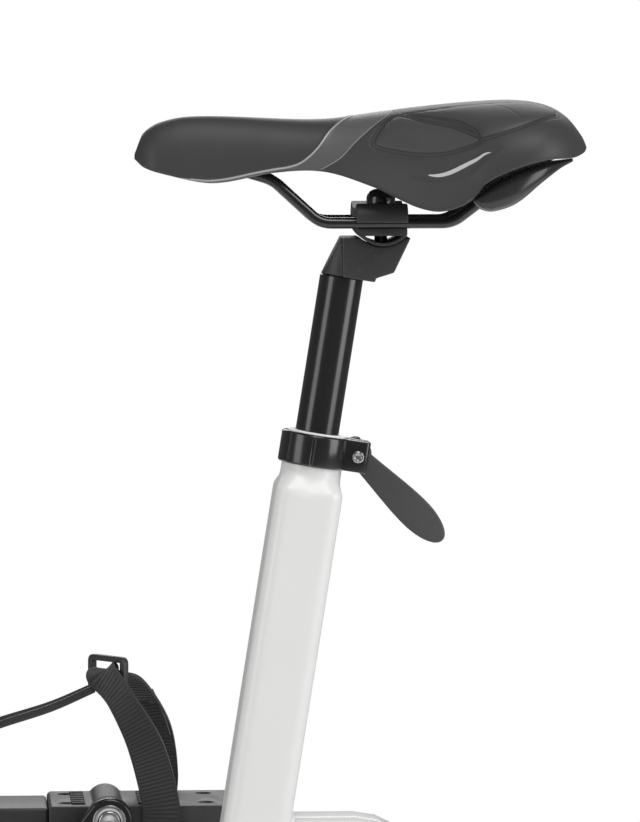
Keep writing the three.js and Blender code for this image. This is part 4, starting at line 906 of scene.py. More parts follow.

# %% [markdown]
# ## Seat post and clamp
# The post is a drawn tube, so it is turned with a small chamfer at each end. Its head is cast: it
# keeps the working shape, with the soft edges that a casting has.

# %% Post and head
POST_RADIUS, POST_WALL = half_width("post_tube"), 2.6 * MM
post_length = (post_high - post_low).z / SEAT_UP.z
post_top = (Vector((0, 0, post_high.z)) - seat_top).z / SEAT_UP.z
post_top -= POST_RADIUS * math.sin(seat_lean) / SEAT_UP.z
POST_BOTTOM = -210 * MM
post = turned("post_tube_drawn", [
    (POST_RADIUS - POST_WALL, POST_BOTTOM), (POST_RADIUS - 0.6 * MM, POST_BOTTOM),
    (POST_RADIUS, POST_BOTTOM + 0.6 * MM), (POST_RADIUS, post_top - 0.5 * MM),
    (POST_RADIUS - 0.5 * MM, post_top), (POST_RADIUS - POST_WALL, post_top),
    (POST_RADIUS - POST_WALL, POST_BOTTOM)], 96)
settle(rounded(post, 0), "seat_post", "black_gloss", "post_tube", place=SEAT_FRAME)
print("post: radius", round(POST_RADIUS, 4), "top at", round(post_top, 4), "above the collar")

head = taken_over("post_head", 1 * MM, 3)
settle(head, "seat_post", "black_plastic", "post_head")

# %% [markdown]
# The saddle's rails lie in a cradle that rocks in the head, under a clamp that one bolt pulls down.
# Clamp and cradle keep their working shape. The bolt gets its domed head and the socket for a key.

# %% Rail clamp
settle(taken_over("lower_cradle", 0.6 * MM, 3), "saddle_clamp", "black_plastic",
       "lower_cradle", finish="cast_black")
settle(taken_over("upper_clamp", 0.8 * MM, 3), "saddle_clamp", "black_plastic", "upper_clamp",
       finish="cast_black")
bolt_low, bolt_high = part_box("clamp_bolt")
BOLT_TOP = bolt_high.z - CLAMP.z
bolt = turned("clamp_bolt_turned", [
    (6 * MM, bolt_low.z - CLAMP.z), (6 * MM, bolt_low.z - CLAMP.z + 6 * MM),
    (4 * MM, bolt_low.z - CLAMP.z + 6 * MM), (4 * MM, BOLT_TOP - 11.2 * MM), (9 * MM, BOLT_TOP - 11.2 * MM),
    (9 * MM, BOLT_TOP - 5.4 * MM), (8.3 * MM, BOLT_TOP - 3.4 * MM), (6.8 * MM, BOLT_TOP - 1.6 * MM),
    (4.4 * MM, BOLT_TOP - 0.4 * MM), (2.9 * MM, BOLT_TOP - 0.2 * MM), (2.9 * MM, BOLT_TOP - 3 * MM)], 60)
settle(rounded(bolt, 0.15 * MM, 2), "saddle_clamp", "black_gloss", "clamp_bolt",
       place=Matrix.Translation(CLAMP))

# %% [markdown]
# ## Saddle
# The rails are one steel wire bent into a narrow fork. A poly curve with a round bevel is the
# direct way to make a bent wire, and it is turned into a mesh so that it can be exported.

# %% Saddle rails
RAIL_RADIUS, RAIL_Y, RAIL_Z = 3.5, 22, 806.5
half_rail = [(-104, 31, 844), (-86, 30, 840), (-43, RAIL_Y, RAIL_Z), (39, RAIL_Y, RAIL_Z),
             (68, 11.5, 833), (96, 7, 841)]
rail_points = [(CLAMP.x + s * MM, y * MM, z * MM) for s, y, z in half_rail]
rail_points += [(x, -y, z) for x, y, z in reversed(rail_points)]
rails = wire("saddle_rails_bent", rail_points, RAIL_RADIUS * MM, 8, 6.5 * MM)
settle(rails, "saddle", "black_gloss", "saddle_rails")
print("rails:", len(rails.data.polygons), "faces")

# %% [markdown]
# The saddle is drawn by three lines along its length: its top, its lower edge and its half width. At
# each place an arch joins them. The place s counts forwards from the clamp, and the angle goes from 0
# at the left edge over the crown at 90 to 180 at the right edge, both as a saddler would mark them.

# %% The saddle's form
TOP_LINE = [(154, 848), (148, 862), (133, 870), (110, 872.4), (50, 870.4), (30, 871), (5, 874.5),
            (-32, 879), (-62, 881.5), (-85, 882), (-103, 879), (-115, 872), (-124, 861), (-128.5, 853)]
EDGE_LINE = [(154, 846), (148, 840.6), (133, 836), (111, 831.5), (97, 832), (67, 837.8), (37, 838.4),
             (8, 829.6), (-6, 823), (-20, 817), (-32, 815), (-44, 818), (-53, 824), (-60, 832.5),
             (-79, 841.8), (-98, 847), (-116, 848), (-128.5, 852)]
WIDTH_LINE = [(154, 3), (149, 12), (141, 18), (116, 21), (76, 24), (36, 29), (6, 42), (-24, 60),
              (-54, 73), (-79, 78), (-99, 74), (-114, 60), (-124, 36), (-128.5, 5)]
SHARPNESS, PAD_SIDE, PAD_CROWN, RIM_ROUND = 2.3, 6, 18, 2.2


def smooth_line(pairs):
    """The value at any place on a smooth line through (place, value) pairs."""
    places = np.array([p for p, _ in pairs][::-1], float)
    values = np.array([v for _, v in pairs][::-1], float)
    slopes = np.empty(len(places))
    slopes[1:-1] = (values[2:] - values[:-2]) / (places[2:] - places[:-2])
    slopes[0] = (values[1] - values[0]) / (places[1] - places[0])
    slopes[-1] = (values[-1] - values[-2]) / (places[-1] - places[-2])

    def at(place):
        place = np.asarray(place, float)
        i = np.clip(np.searchsorted(places, place) - 1, 0, len(places) - 2)
        run = places[i + 1] - places[i]
        t = (place - places[i]) / run
        return (values[i] * (2 * t ** 3 - 3 * t ** 2 + 1) + slopes[i] * run * (t ** 3 - 2 * t ** 2 + t)
                + values[i + 1] * (3 * t ** 2 - 2 * t ** 3) + slopes[i + 1] * run * (t ** 3 - t ** 2))
    return at


top_line, edge_line, width_line = (smooth_line(line) for line in (TOP_LINE, EDGE_LINE, WIDTH_LINE))


def saddle_point(s, angle, side=0.0, crown=0.0, drop=0.0):
    """Points in millimetres on an arch at the place s, drawn in from the cover by side and crown."""
    s, turn = np.broadcast_arrays(np.asarray(s, float), np.radians(angle))
    width, low, high = width_line(s), edge_line(s), top_line(s)
    room = np.minimum(1, width / 22)
    width = np.maximum(width - side * room, 1)
    high = np.maximum(high - crown * np.minimum(room, (high - low) / 34), low + 1)
    lift = np.abs(np.sin(turn)) ** (2 / SHARPNESS)
    y = width * np.sign(np.cos(turn)) * np.abs(np.cos(turn)) ** (2 / SHARPNESS)
    return np.stack([CLAMP.x / MM + s, y, low - drop + (high - low + drop) * lift], axis=-1)


print("saddle length:", TOP_LINE[0][0] - TOP_LINE[-1][0], "mm")

# %% [markdown]
# Seams are marked on the cover as a few (place, angle) points, and a smooth curve runs through them.
# The distance from every point of the mesh to that curve is measured across the surface, and its
# sign says on which side of the seam the point lies.

# %% Seams and how far away they are
PIPING = [(18, 90), (19, 84), (23, 74), (32.5, 50), (40, 26), (47.5, 11.5), (55.5, 4.5), (68.5, 2.6),
          (88, 2.2), (114, 1.2), (125, 0.3)]
SECOND_SEAM = [(-7, 90), (-4, 76), (2, 62.8), (17.5, 35), (27.5, 14.8), (39.5, 0.8), (44, 0)]
FRONT_PAD = [(-8.5, 69.5), (4.5, 48.5), (8, 31), (-5.5, 28), (-31.5, 29), (-46.5, 30), (-59, 32.2),
             (-44, 49.8), (-25.5, 59)]
REAR_PAD = [(-59, 32.2), (-82, 36), (-102, 50), (-107, 60), (-103, 70), (-93.5, 77), (-72, 75),
            (-46, 75), (-26.5, 73), (-14, 70), (-27, 64), (-44, 55), (-54, 43)]
DIVIDER = [(-70, 66), (-75, 60), (-80, 51), (-84, 42)]
INLAY = [(-24, 17.6), (-30, 17.4), (-37, 18.2), (-48, 20.5), (-56, 20.4), (-63, 19)]
RECESS = [(-15, 15.6), (-27.5, 20.5), (-39, 25), (-47, 26.8), (-55, 26.4), (-69, 20.2), (-57.5, 14.8),
          (-46, 14.4), (-33, 14.4), (-22, 14.6)]


def marked(points, closed=False, steps=10):
    """The points of a seam with a smooth curve put through them."""
    p = np.array(points, float)
    count = len(p)
    result = []
    for i in range(count if closed else count - 1):
        if closed:
            a, b, c, d = (p[(i + k) % count] for k in (-1, 0, 1, 2))
        else:
            a, b, c, d = p[max(i - 1, 0)], p[i], p[i + 1], p[min(i + 2, count - 1)]
        for t in np.linspace(0, 1, steps, endpoint=False):
            result.append(0.5 * (2 * b + (c - a) * t + (2 * a - 5 * b + 4 * c - d) * t ** 2
                                 + (3 * b - a - 3 * c + d) * t ** 3))
    if not closed:
        result.append(p[-1])
    return np.array(result)


def distance_to(line, surface, closed=False):
    """Millimetres from each surface point to the seam, and how far along the seam its nearest point is."""
    seam_points = saddle_point(line[:, 0], line[:, 1])
    if closed:
        seam_points = np.concatenate([seam_points, seam_points[:1]])
    best = np.full(len(surface), 1e9)
    share = np.zeros(len(surface))
    for i, (a, b) in enumerate(zip(seam_points, seam_points[1:])):
        run = b - a
        t = np.clip((surface - a) @ run / max(run @ run, 1e-9), 0, 1)
        gap = np.linalg.norm(surface - a - t[:, None] * run, axis=1)
        nearer = gap < best
        best[nearer] = gap[nearer]
        share[nearer] = (i + t[nearer]) / (len(seam_points) - 1)
    return best, share


def inside(line, s, angle):
    crossings = np.zeros(len(s), int)
    for (s0, a0), (s1, a1) in zip(line, np.roll(line, -1, axis=0)):
        spans = (a0 > angle) != (a1 > angle)
        with np.errstate(divide="ignore", invalid="ignore"):
            at = s0 + (angle - a0) * (s1 - s0) / (a1 - a0)
        crossings += spans & (s < at)
    return crossings % 2 == 1


def signed(line, s, angle, surface, closed):
    """Distance to a seam: below 0 inside a closed seam, or in front of an open one."""
    gap, share = distance_to(line, surface, closed)
    if closed:
        return np.where(inside(line, s, angle), -gap, gap)
    order = np.argsort(line[:, 1])
    seam_at = np.interp(angle, line[order, 1], line[order, 0])
    return np.where(s > seam_at, -gap, gap)

# %% [markdown]
# The cover is stretched over firm foam. The sewn pads swell a little between their seams, the seams
# pull in, the piping stands up, and the inlay lies in a shallow hollow. These are real shapes, so
# they are moves of the mesh; only the leather's grain is left to the finish.

# %% Saddle pad
ALONG, OVER, UNDER = 330, 210, 44
ends = 0.5 - 0.5 * np.cos(np.linspace(0, math.pi, ALONG))
share = 0.82 * np.linspace(0, 1, ALONG) + 0.18 * ends
places = -128.3 + (153.6 + 128.3) * share
over = np.linspace(0, 180, OVER)
under = np.linspace(180, 0, UNDER)
s_grid, angle_grid = np.meshgrid(places, over, indexing="ij")
outer = saddle_point(s_grid, angle_grid)
rise = outer[..., 2] - edge_line(s_grid)
pull = RIM_ROUND - np.sqrt(np.maximum(RIM_ROUND ** 2 - np.maximum(RIM_ROUND - rise, 0) ** 2, 0))
outer[..., 1] -= np.sign(outer[..., 1]) * np.minimum(pull, np.abs(outer[..., 1]) * 0.5)
along_s, along_angle = np.gradient(outer, axis=0), np.gradient(outer, axis=1)
normals = np.cross(along_angle, along_s)
normals /= np.maximum(np.linalg.norm(normals, axis=-1, keepdims=True), 1e-9)
if (normals[ALONG // 2, OVER // 2, 2]) < 0:
    normals = -normals

s_flat = s_grid.ravel()
half_angle = np.minimum(angle_grid, 180 - angle_grid).ravel()
left_side = outer.reshape(-1, 3) * (1, 1, 1)
left_side[:, 1] = np.abs(left_side[:, 1])
lines = {name: marked(points, closed) for name, points, closed in [
    ("piping", PIPING, False), ("second", SECOND_SEAM, False), ("front", FRONT_PAD, True),
    ("rear", REAR_PAD, True), ("divider", DIVIDER, False), ("inlay", INLAY, False),
    ("recess", RECESS, True)]}
piping = signed(lines["piping"], s_flat, half_angle, left_side, False)
second = signed(lines["second"], s_flat, half_angle, left_side, False)
front = signed(lines["front"], s_flat, half_angle, left_side, True) + 2.3
rear = signed(lines["rear"], s_flat, half_angle, left_side, True) + 0.8
pads = np.minimum(front, rear)
divider, _ = distance_to(lines["divider"], left_side)
inlay, inlay_share = distance_to(lines["inlay"], left_side)
inlay -= 1.35 * np.sin(math.pi * np.clip(inlay_share, 0.015, 0.985)) ** 0.7
recess = signed(lines["recess"], s_flat, half_angle, left_side, True)


def ridge(distance, reach):
    return np.exp(-(distance / reach) ** 2)


def swell(distance, reach):
    return 1 - np.exp(-np.maximum(-distance, 0) / reach)


lift = (1.1 * swell(pads, 4) - 0.55 * ridge(pads, 0.7) - 0.4 * ridge(pads - 2.3, 0.6)
        - 0.3 * ridge(divider, 0.6) - 0.7 * swell(recess, 1.1) - 0.25 * ridge(recess, 0.6)
        + 0.55 * swell(inlay, 0.4) + 0.6 * ridge(piping, 0.8) - 0.25 * ridge(second, 0.6))
outer += normals * lift.reshape(ALONG, OVER, 1)

inner = saddle_point(places[:, None], under[None, :], PAD_SIDE, PAD_CROWN)
pad = skin("saddle_pad_cover", np.concatenate([outer, inner], axis=1) * MM)
around = OVER + UNDER
measures = {"from_piping": piping, "from_second_seam": second, "from_pads": pads, "from_inlay": inlay}
coordinates = np.empty(len(pad.data.vertices) * 3, np.float32)
pad.data.vertices.foreach_get("co", coordinates)
print("saddle pad:", len(pad.data.vertices), "points")

# %% [markdown]
# Sewing the grid's seam and ends has renumbered its points, so each distance is handed to the point
# that lies nearest. Points on the underside get a large distance, which is plain cover.

# %% Handing the distances to the mesh
from mathutils.kdtree import KDTree

tree = KDTree(outer.size // 3)
for i, point in enumerate(outer.reshape(-1, 3) * MM):
    tree.insert(point, i)
tree.balance()
nearest = [tree.find(vertex.co) for vertex in pad.data.vertices]
index = np.array([found[1] for found in nearest])
far = np.array([found[2] for found in nearest]) > 0.05 * MM
for name, values in measures.items():
    layer = pad.data.attributes.new(name, "FLOAT", "POINT")
    layer.data.foreach_set("value", np.where(far, 50.0, values[index]).astype(np.float32))
rounded(pad, 0, smooth=60)
settle(pad, "saddle", "saddle_vinyl", "saddle_pad")

# %% [markdown]
# Under the foam lies the moulded shell that the rails clip into. It is thin, with a lip that shows
# under the nose, and rides up inside the pad.

# %% Shell and rear bumpers
shell_places = np.linspace(-99, 112, 60)
shell_over, shell_under = np.linspace(0, 180, 40), np.linspace(180, 0, 40)
shell_rings = np.concatenate([
    saddle_point(shell_places[:, None], shell_over[None, :], PAD_SIDE + 1.8, PAD_CROWN + 1.8),
    saddle_point(shell_places[:, None], shell_under[None, :], PAD_SIDE + 4.2, PAD_CROWN + 5)], axis=1)
shell = skin("saddle_shell_moulded", shell_rings * MM)
settle(rounded(shell, 0.5 * MM, 2), "saddle", "black_plastic", "saddle_shell")

BUMPER = [(-53, 60, 67, 820.5, 823.5), (-58, 46, 69, 816, 828), (-66, 43, 70, 815, 833.5),
          (-80, 42, 70, 820, 840.5), (-96, 40, 63, 832.5, 845), (-108, 38, 52, 841, 846.3),
          (-116, 37, 44, 845, 847)]
bumper_lines = [smooth_line([(row[0], row[i]) for row in BUMPER]) for i in range(1, 5)]
rings = []
for s in np.linspace(-116, -53, 40):
    y0, y1, z0, z1 = (line(s) for line in bumper_lines)
    turn = np.linspace(0, 2 * math.pi, 36, endpoint=False)
    y = (y0 + y1) / 2 + (y1 - y0) / 2 * np.sign(np.cos(turn)) * np.abs(np.cos(turn)) ** 0.8
    z = (z0 + z1) / 2 + (z1 - z0) / 2 * np.sign(np.sin(turn)) * np.abs(np.sin(turn)) ** 0.8
    rings.append(np.stack([np.full_like(y, CLAMP.x / MM + s), y, z], axis=-1))
left_bumper = rounded(skin("left_bumper_moulded", np.array(rings) * MM), 0, smooth=50)
right_bumper = mirror_copy(left_bumper, "right_bumper_moulded")
settle(left_bumper, "saddle", "gloss_plastic", "left_saddle_bumper")
settle(right_bumper, "saddle", "gloss_plastic", "right_saddle_bumper")
print("shell and bumpers done")

# %% [markdown]
# ## Pedals, toe cages and straps
# Everything here is built once, round the left pedal's axle, and then copied to the right pedal as
# its mirror image. The deck keeps its working outline; holes are cut through it.

# %% Pedal deck
LEFT_PEDAL, RIGHT_PEDAL = pivot("left_pedal_spin"), pivot("right_pedal_spin")
LEFT_AXLE = Vector((LEFT_PEDAL.x, 0, LEFT_PEDAL.z))
RIGHT_AXLE = Vector((RIGHT_PEDAL.x, 0, RIGHT_PEDAL.z))
deck_low, deck_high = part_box("left_pedal")
DECK_INNER, DECK_OUTER = deck_low.y, deck_high.y
DECK_MIDDLE = (DECK_INNER + DECK_OUTER) / 2


def upright_hole(x, y, radius):
    hole = turned("hole", [(radius, -40 * MM), (radius, 40 * MM)], 28)
    hole.data.transform(Matrix.Translation(LEFT_AXLE + Vector((x, y, 0))))
    return hole


cutters = [upright_hole(x * MM, y, 5 * MM) for x in (26, -63.5)
           for y in (DECK_INNER + 18 * MM, DECK_OUTER - 15 * MM)]
deck = drilled(taken_over("left_pedal", 0), *cutters)
rounded(deck, 0.7 * MM, 2, 40)

# The sole rests on rows of small bars beside the spindle, with a raised pad between them.
bars = []
for row in (19, -24):
    for step in range(7):
        across = DECK_INNER + (12 + 9 * step) * MM
        bar = block("grip_bar", (LEFT_AXLE.x + (row - 4.5) * MM, across - 1.2 * MM, LEFT_AXLE.z + 6.6 * MM),
                    (LEFT_AXLE.x + (row + 4.5) * MM, across + 1.2 * MM, LEFT_AXLE.z + 8.4 * MM))
        bars.append(rounded(bar, 0.5 * MM, 2))
deck = joined("left_pedal_moulded", deck, *bars)
print("pedal deck:", len(deck.data.polygons), "faces")

# %% [markdown]
# The cage is one moulding: a block that is screwed to the pedal's front, an arm that curves up over
# the toes, and a loop for the strap. The arm is a channel, with raised edges and a groove between.

# %% Toe cage
ARM = [(62, -4), (92, 6), (108, 26), (100, 46), (68, 57), (36, 67), (8, 79)]


def smooth_path(corners, steps):
    """Points along a Catmull-Rom curve through the corners, each with its direction."""
    ends = [2 * Vector(corners[0]) - Vector(corners[1])] + [Vector(c) for c in corners]
    ends.append(2 * ends[-1] - ends[-2])
    places = []
    for i in range(steps + 1):
        place = (len(corners) - 1) * i / steps
        k = min(int(place), len(corners) - 2)
        t = place - k
        p0, p1, p2, p3 = ends[k:k + 4]
        at = 0.5 * (2 * p1 + (p2 - p0) * t + (2 * p0 - 5 * p1 + 4 * p2 - p3) * t ** 2
                    + (3 * p1 - p0 - 3 * p2 + p3) * t ** 3)
        along = 0.5 * ((p2 - p0) + 2 * (2 * p0 - 5 * p1 + 4 * p2 - p3) * t
                       + 3 * (3 * p1 - p0 - 3 * p2 + p3) * t ** 2)
        places.append((at, along.normalized()))
    return places


def channel(half):
    """Half width in, section of the arm out: (across, through) pairs, the outer face first."""
    lip, floor, outer, inner = 2.2, 0.6, 2.5, -2.4
    return [(half, inner), (half, outer), (half - lip, outer), (half - lip - 0.8, floor),
            (-half + lip + 0.8, floor), (-half + lip, outer), (-half, outer), (-half, inner)]


arm_rings = []
for i, (at, along) in enumerate(smooth_path([Vector((x, 0, z)) for x, z in ARM], 64)):
    out = Vector((along.z, 0, -along.x))
    half = 20 - 13 * i / 64
    arm_rings.append([LEFT_AXLE + Vector((0, DECK_MIDDLE, 0)) + (at + out * through) * MM
                      + Vector((0, across * MM, 0)) for across, through in channel(half)])
arm = rounded(skin("cage_arm", arm_rings), 0.5 * MM, 2)

foot = block("cage_block", LEFT_AXLE + Vector((38.4 * MM, DECK_INNER + 5 * MM, -14 * MM)),
             LEFT_AXLE + Vector((72.3 * MM, DECK_OUTER - 7 * MM, 5.4 * MM)))
rounded(foot, 2.2 * MM, 4)
insert = block("cage_reflector", LEFT_AXLE + Vector((50 * MM, DECK_OUTER - 8.5 * MM, -12 * MM)),
               LEFT_AXLE + Vector((70.5 * MM, DECK_OUTER - 6.4 * MM, -1 * MM)))
rounded(insert, 0.8 * MM, 3)

LOOP_TURN, LOOP_HALF, LOOP_WIDTH = 50, 13.5, 17.5
LOOP_PLACE = (Matrix.Translation(LEFT_AXLE + Vector((-1 * MM, DECK_MIDDLE - 8 * MM, 89 * MM)))
              @ Matrix.Rotation(math.radians(LOOP_TURN), 4, "Z"))
loop = block("cage_loop", (-LOOP_WIDTH * MM, -2.4 * MM, -11.8 * MM), (LOOP_WIDTH * MM, 2.4 * MM, 11.8 * MM))
window = block("window", (-LOOP_HALF * MM, -10 * MM, -5.5 * MM), (LOOP_HALF * MM, 10 * MM, 8 * MM))
pick(loop, lambda edge: abs(abs(centre_of(edge).x) - LOOP_WIDTH * MM) < 0.1 * MM
     and centre_of(edge).z > 11 * MM, "EDGE")
bpy.ops.mesh.bevel(offset=4 * MM, segments=4)
close_edit()
rounded(drilled(loop, window), 0.9 * MM, 3)
loop.data.transform(LOOP_PLACE)
cage = joined("left_toe_cage_moulded", arm, foot, loop)
print("cage:", len(cage.data.polygons), "faces")

# %% [markdown]
# The strap goes through the pedal and up both sides of the foot, and then through the cage's loop.
# It follows the working strap's own centre line, and carries a UV map along the weave. A short
# tail of webbing stands up inside the outer run, where the strap has been pulled tight.

# %% Toe strap
STRAP_HALF, STRAP_THICK = 12, 0.9
NEAR, FAR, MIDDLE = DECK_INNER / MM, DECK_OUTER / MM, DECK_MIDDLE / MM
SLOT_X, SLOT_Z = -34, -5.75
LOOP_Y = MIDDLE - 8


def through_loop(run):
    turn = math.radians(LOOP_TURN)
    return -1 - run * math.sin(turn), LOOP_Y + run * math.cos(turn)


stops = [(SLOT_X, MIDDLE, SLOT_Z, 0), (SLOT_X, NEAR - 1, SLOT_Z, 0), (SLOT_X, NEAR - 4, SLOT_Z + 3, 0),
         (SLOT_X + 1, NEAR - 2, 12, 0.1), (-24, NEAR + 10, 45, 0.5), (-8, NEAR + 17, 75, 0.9),
         (*through_loop(-5), 90, 1), (*through_loop(5), 90, 1), (-16, LOOP_Y + 16, 82, 0.8),
         (-31, FAR - 12, 52, 0.4), (SLOT_X - 2, FAR + 3, 18, 0.1), (SLOT_X, FAR + 4, SLOT_Z + 3, 0),
         (SLOT_X, FAR + 1, SLOT_Z, 0), (SLOT_X, MIDDLE, SLOT_Z, 0)]


def band(name, line, twists, half, thick):
    """A woven band along a line of (place, direction), with its UV map in millimetres."""
    rings, lengths, run = [], [], 0
    for i, (at, along) in enumerate(line):
        twist = math.radians(LOOP_TURN) * twists[i]
        wide = Vector((math.cos(twist), math.sin(twist), 0))
        wide = (wide - along * wide.dot(along)).normalized()
        thin = along.cross(wide)
        section = [(half, -thick), (half, thick), (0.5 * half, thick), (-0.5 * half, thick),
                   (-half, thick), (-half, -thick), (-0.5 * half, -thick), (0.5 * half, -thick)]
        rings.append([LEFT_AXLE + (at + wide * u + thin * v) * MM for u, v in section])
        if i:
            run += (at - line[i - 1][0]).length
        lengths.append(run)
    piece = skin(name, rings, closed_ends=True)
    layer = piece.data.uv_layers.new(name="along_strap")
    flat = [(Vector(p), lengths[i], (12, 12, 6, -6, -12, -12, -6, 6)[j])
            for i, ring in enumerate(rings) for j, p in enumerate(ring)]
    places = np.array([p for p, _, _ in flat])
    for loop_index, corner in enumerate(piece.data.loops):
        spot = np.array(piece.data.vertices[corner.vertex_index].co)
        nearest = int(np.argmin(((places - spot) ** 2).sum(axis=1)))
        layer.data[loop_index].uv = flat[nearest][1:]
    return rounded(piece, 0)


STRAP_STEPS = 260
strap_line = smooth_path([Vector(stop[:3]) for stop in stops], STRAP_STEPS)
strap_twists = np.interp(np.linspace(0, len(stops) - 1, STRAP_STEPS + 1), range(len(stops)),
                         [stop[3] for stop in stops])
strap = band("strap", strap_line, strap_twists, STRAP_HALF, STRAP_THICK)
tail_corners = [(-33, FAR - 13, 44), (-30, FAR - 17, 55), (-26, FAR - 21, 65), (-22, FAR - 24, 75)]
tail_line = smooth_path([Vector(corner) for corner in tail_corners], 24)
tail = band("strap_tail", tail_line, np.linspace(0.35, 0.6, 25), STRAP_HALF - 2, STRAP_THICK)
strap = joined("left_toe_strap_woven", strap, tail)
print("strap:", len(strap.data.polygons), "faces")

# %% [markdown]
# Both sides are now settled. The right pedal's pieces are mirrored across the bike and moved from
# the left axle to the right one, since the two cranks point opposite ways.

# %% Settling both pedals
ACROSS = Matrix.Translation(RIGHT_AXLE - LEFT_AXLE)
for piece, slot, what, finish in ((deck, "black_plastic", "pedal", None),
                                  (cage, "black_plastic", "toe_cage", None),
                                  (insert, "black_plastic", "", "reflector"),
                                  (strap, "webbing", "toe_strap", None)):
    other = mirror_copy(piece, piece.name.replace("left", "right") + ("" if what else "_right"))
    nodes = [f"left_{what}"] if what else []
    settle(piece, "left_pedal_body", slot, *nodes, finish=finish)
    settle(other, "right_pedal_body", slot, *[n.replace("left", "right") for n in nodes],
           place=ACROSS, finish=finish)

# %% [markdown]
# ## Frame
# The frame's tubes keep their working shape, because their ends are cut to fit each other. Their long
# corners are beveled to the round of a drawn tube, and normals weighted by face area keep the flats flat.

# %% Frame tubes
def painted_tube(node, slot="white_paint", shortest=60 * MM, corner=2.2 * MM):
    piece = taken_over(node, 0)
    pick(piece, lambda edge: len(edge.link_faces) == 2 and edge.calc_length() > shortest
         and edge.calc_face_angle(0) > 0.5, "EDGE")
    bpy.ops.mesh.bevel(offset=corner, segments=3, clamp_overlap=True)
    close_edit()
    rounded(piece, 0, smooth=50)
    weighted = piece.modifiers.new("flat_faces", "WEIGHTED_NORMAL")
    weighted.keep_sharp = True
    only(piece)
    bpy.ops.object.modifier_apply(modifier="flat_faces")
    return settle(piece, "frame", slot, node)


for node in ("main_beam", "head_tube", "rear_stabilizer", "front_stabilizer"):
    painted_tube(node)
painted_tube("rear_stay", "grey_paint", 40 * MM)
for node in ("left_fork_leg", "right_fork_leg"):
    settle(taken_over(node, 2 * MM, 3), "frame", "white_paint", node)
settle(taken_over("brake_bracket", 1.2 * MM, 3), "frame", "white_paint", "brake_bracket")
print("frame tubes settled")

# %% [markdown]
# More weld beads close the other joints. Each is the tube's own section, slid along the tube until
# it lies on the face of the tube that it is welded to. The rear stabilizer's ends get plastic caps.

# %% Welds and end caps
def seam_on(places, direction, face_place, face_normal):
    return [p - direction * ((p - face_place).dot(face_normal) / direction.dot(face_normal)) for p in places]


KNOB_BEHIND, KNOB_UP = 42 * MM, 165 * MM
mast_turn = standing(Vector(), MAST_UP).to_3x3()
MAST_FOOT = pivot("height_knob_turn") - mast_turn @ Vector((-KNOB_BEHIND, 0, KNOB_UP))
MAST_FRAME = standing(MAST_FOOT, MAST_UP)
MAST_HALF = 25 * MM
beam_section = [BRACKET + beam_up * u + Vector((0, v, 0))
                for u, v in rounded_square(60 * MM, 50 * MM, 10 * MM, 4, 2)]
weld("mast_weld", seam_on(beam_section, beam_direction, MAST_FRAME @ Vector((-MAST_HALF - 0.3 * MM, 0, 0)),
                          mast_turn @ Vector((1, 0, 0))), 2.4 * MM)
STAY_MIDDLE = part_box("rear_stay")[1].z - 20 * MM
stay_section = [Vector((0, v, STAY_MIDDLE + u)) for u, v in rounded_square(40 * MM, 40 * MM, 8 * MM, 4, 2)]
seat_rear = SEAT_FRAME @ Vector((-TUBE_DEPTH / 2 - 0.3 * MM, 0, 0))
weld("stay_weld", seam_on(stay_section, Vector((1, 0, 0)), seat_rear, seat_turn.to_3x3() @ Vector((1, 0, 0))),
     2 * MM)

stabilizer_low, stabilizer_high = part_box("rear_stabilizer")
cap = block("stabilizer_cap",
            (stabilizer_low.x - 0.6 * MM, stabilizer_high.y - 12 * MM, stabilizer_low.z - 0.6 * MM),
            (stabilizer_high.x + 0.6 * MM, stabilizer_high.y + 3 * MM, stabilizer_high.z + 0.6 * MM))
pick(cap, lambda edge: abs(edge.verts[0].co.y - edge.verts[1].co.y) > 5 * MM, "EDGE")
bpy.ops.mesh.bevel(offset=8 * MM, segments=8)
close_edit()
rounded(cap, 1.4 * MM, 3, 50)
other_cap = mirror_copy(cap, "right_stabilizer_cap")
settle(cap, "frame", "black_plastic")
settle(other_cap, "frame", "black_plastic")

# %% [markdown]
# Each foot is a ribbed rubber pad on a threaded stem with a hexagonal lock nut. It is made once and
# copied to the four corners. The transport wheels have a grooved tread and a pale hub.

# %% Feet and transport wheels
def copy_of(piece, name):
    copy = bpy.data.objects.new(name, piece.data.copy())
    bpy.context.scene.collection.objects.link(copy)
    return copy


pad_profile = [(1, 0), (21, 0), (22, 1), (22, 2.6), (21.2, 3.1), (21.2, 3.9), (22, 4.4), (22, 6.4),
               (21.2, 6.9),
               (21.2, 7.7), (22, 8.2), (22, 9.6), (13.2, 16), (6, 16)]
foot_pad = rounded(turned("foot_pad", [(r * MM, h * MM) for r, h in pad_profile], 72), 0.15 * MM, 2)
stem_profile = [(4.9, 15.5)]
for thread in range(19):
    stem_profile += [(4.9, 16 + 1.5 * thread), (4.35, 16.75 + 1.5 * thread)]
stem_profile += [(4.9, 45), (4, 46)]
foot_stem = rounded(turned("foot_stem", [(r * MM, h * MM) for r, h in stem_profile], 32), 0)
lock_nut = rounded(turned("lock_nut", [(9.2 * MM, 17 * MM), (9.2 * MM, 23 * MM)], 6), 0.6 * MM, 2)
metal = joined("foot_metal", foot_stem, lock_nut)
for end in ("rear", "front"):
    for side in ("left", "right"):
        name = f"{end}_{side}_foot"
        low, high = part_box(name)
        at = Matrix.Translation(((low.x + high.x) / 2, (low.y + high.y) / 2, low.z))
        settle(copy_of(foot_pad, name + "_moulded"), name, "rubber", name, place=at)
        settle(copy_of(metal, name + "_stem"), name, "bright_steel", place=at)
bpy.data.objects.remove(foot_pad)
bpy.data.objects.remove(metal)

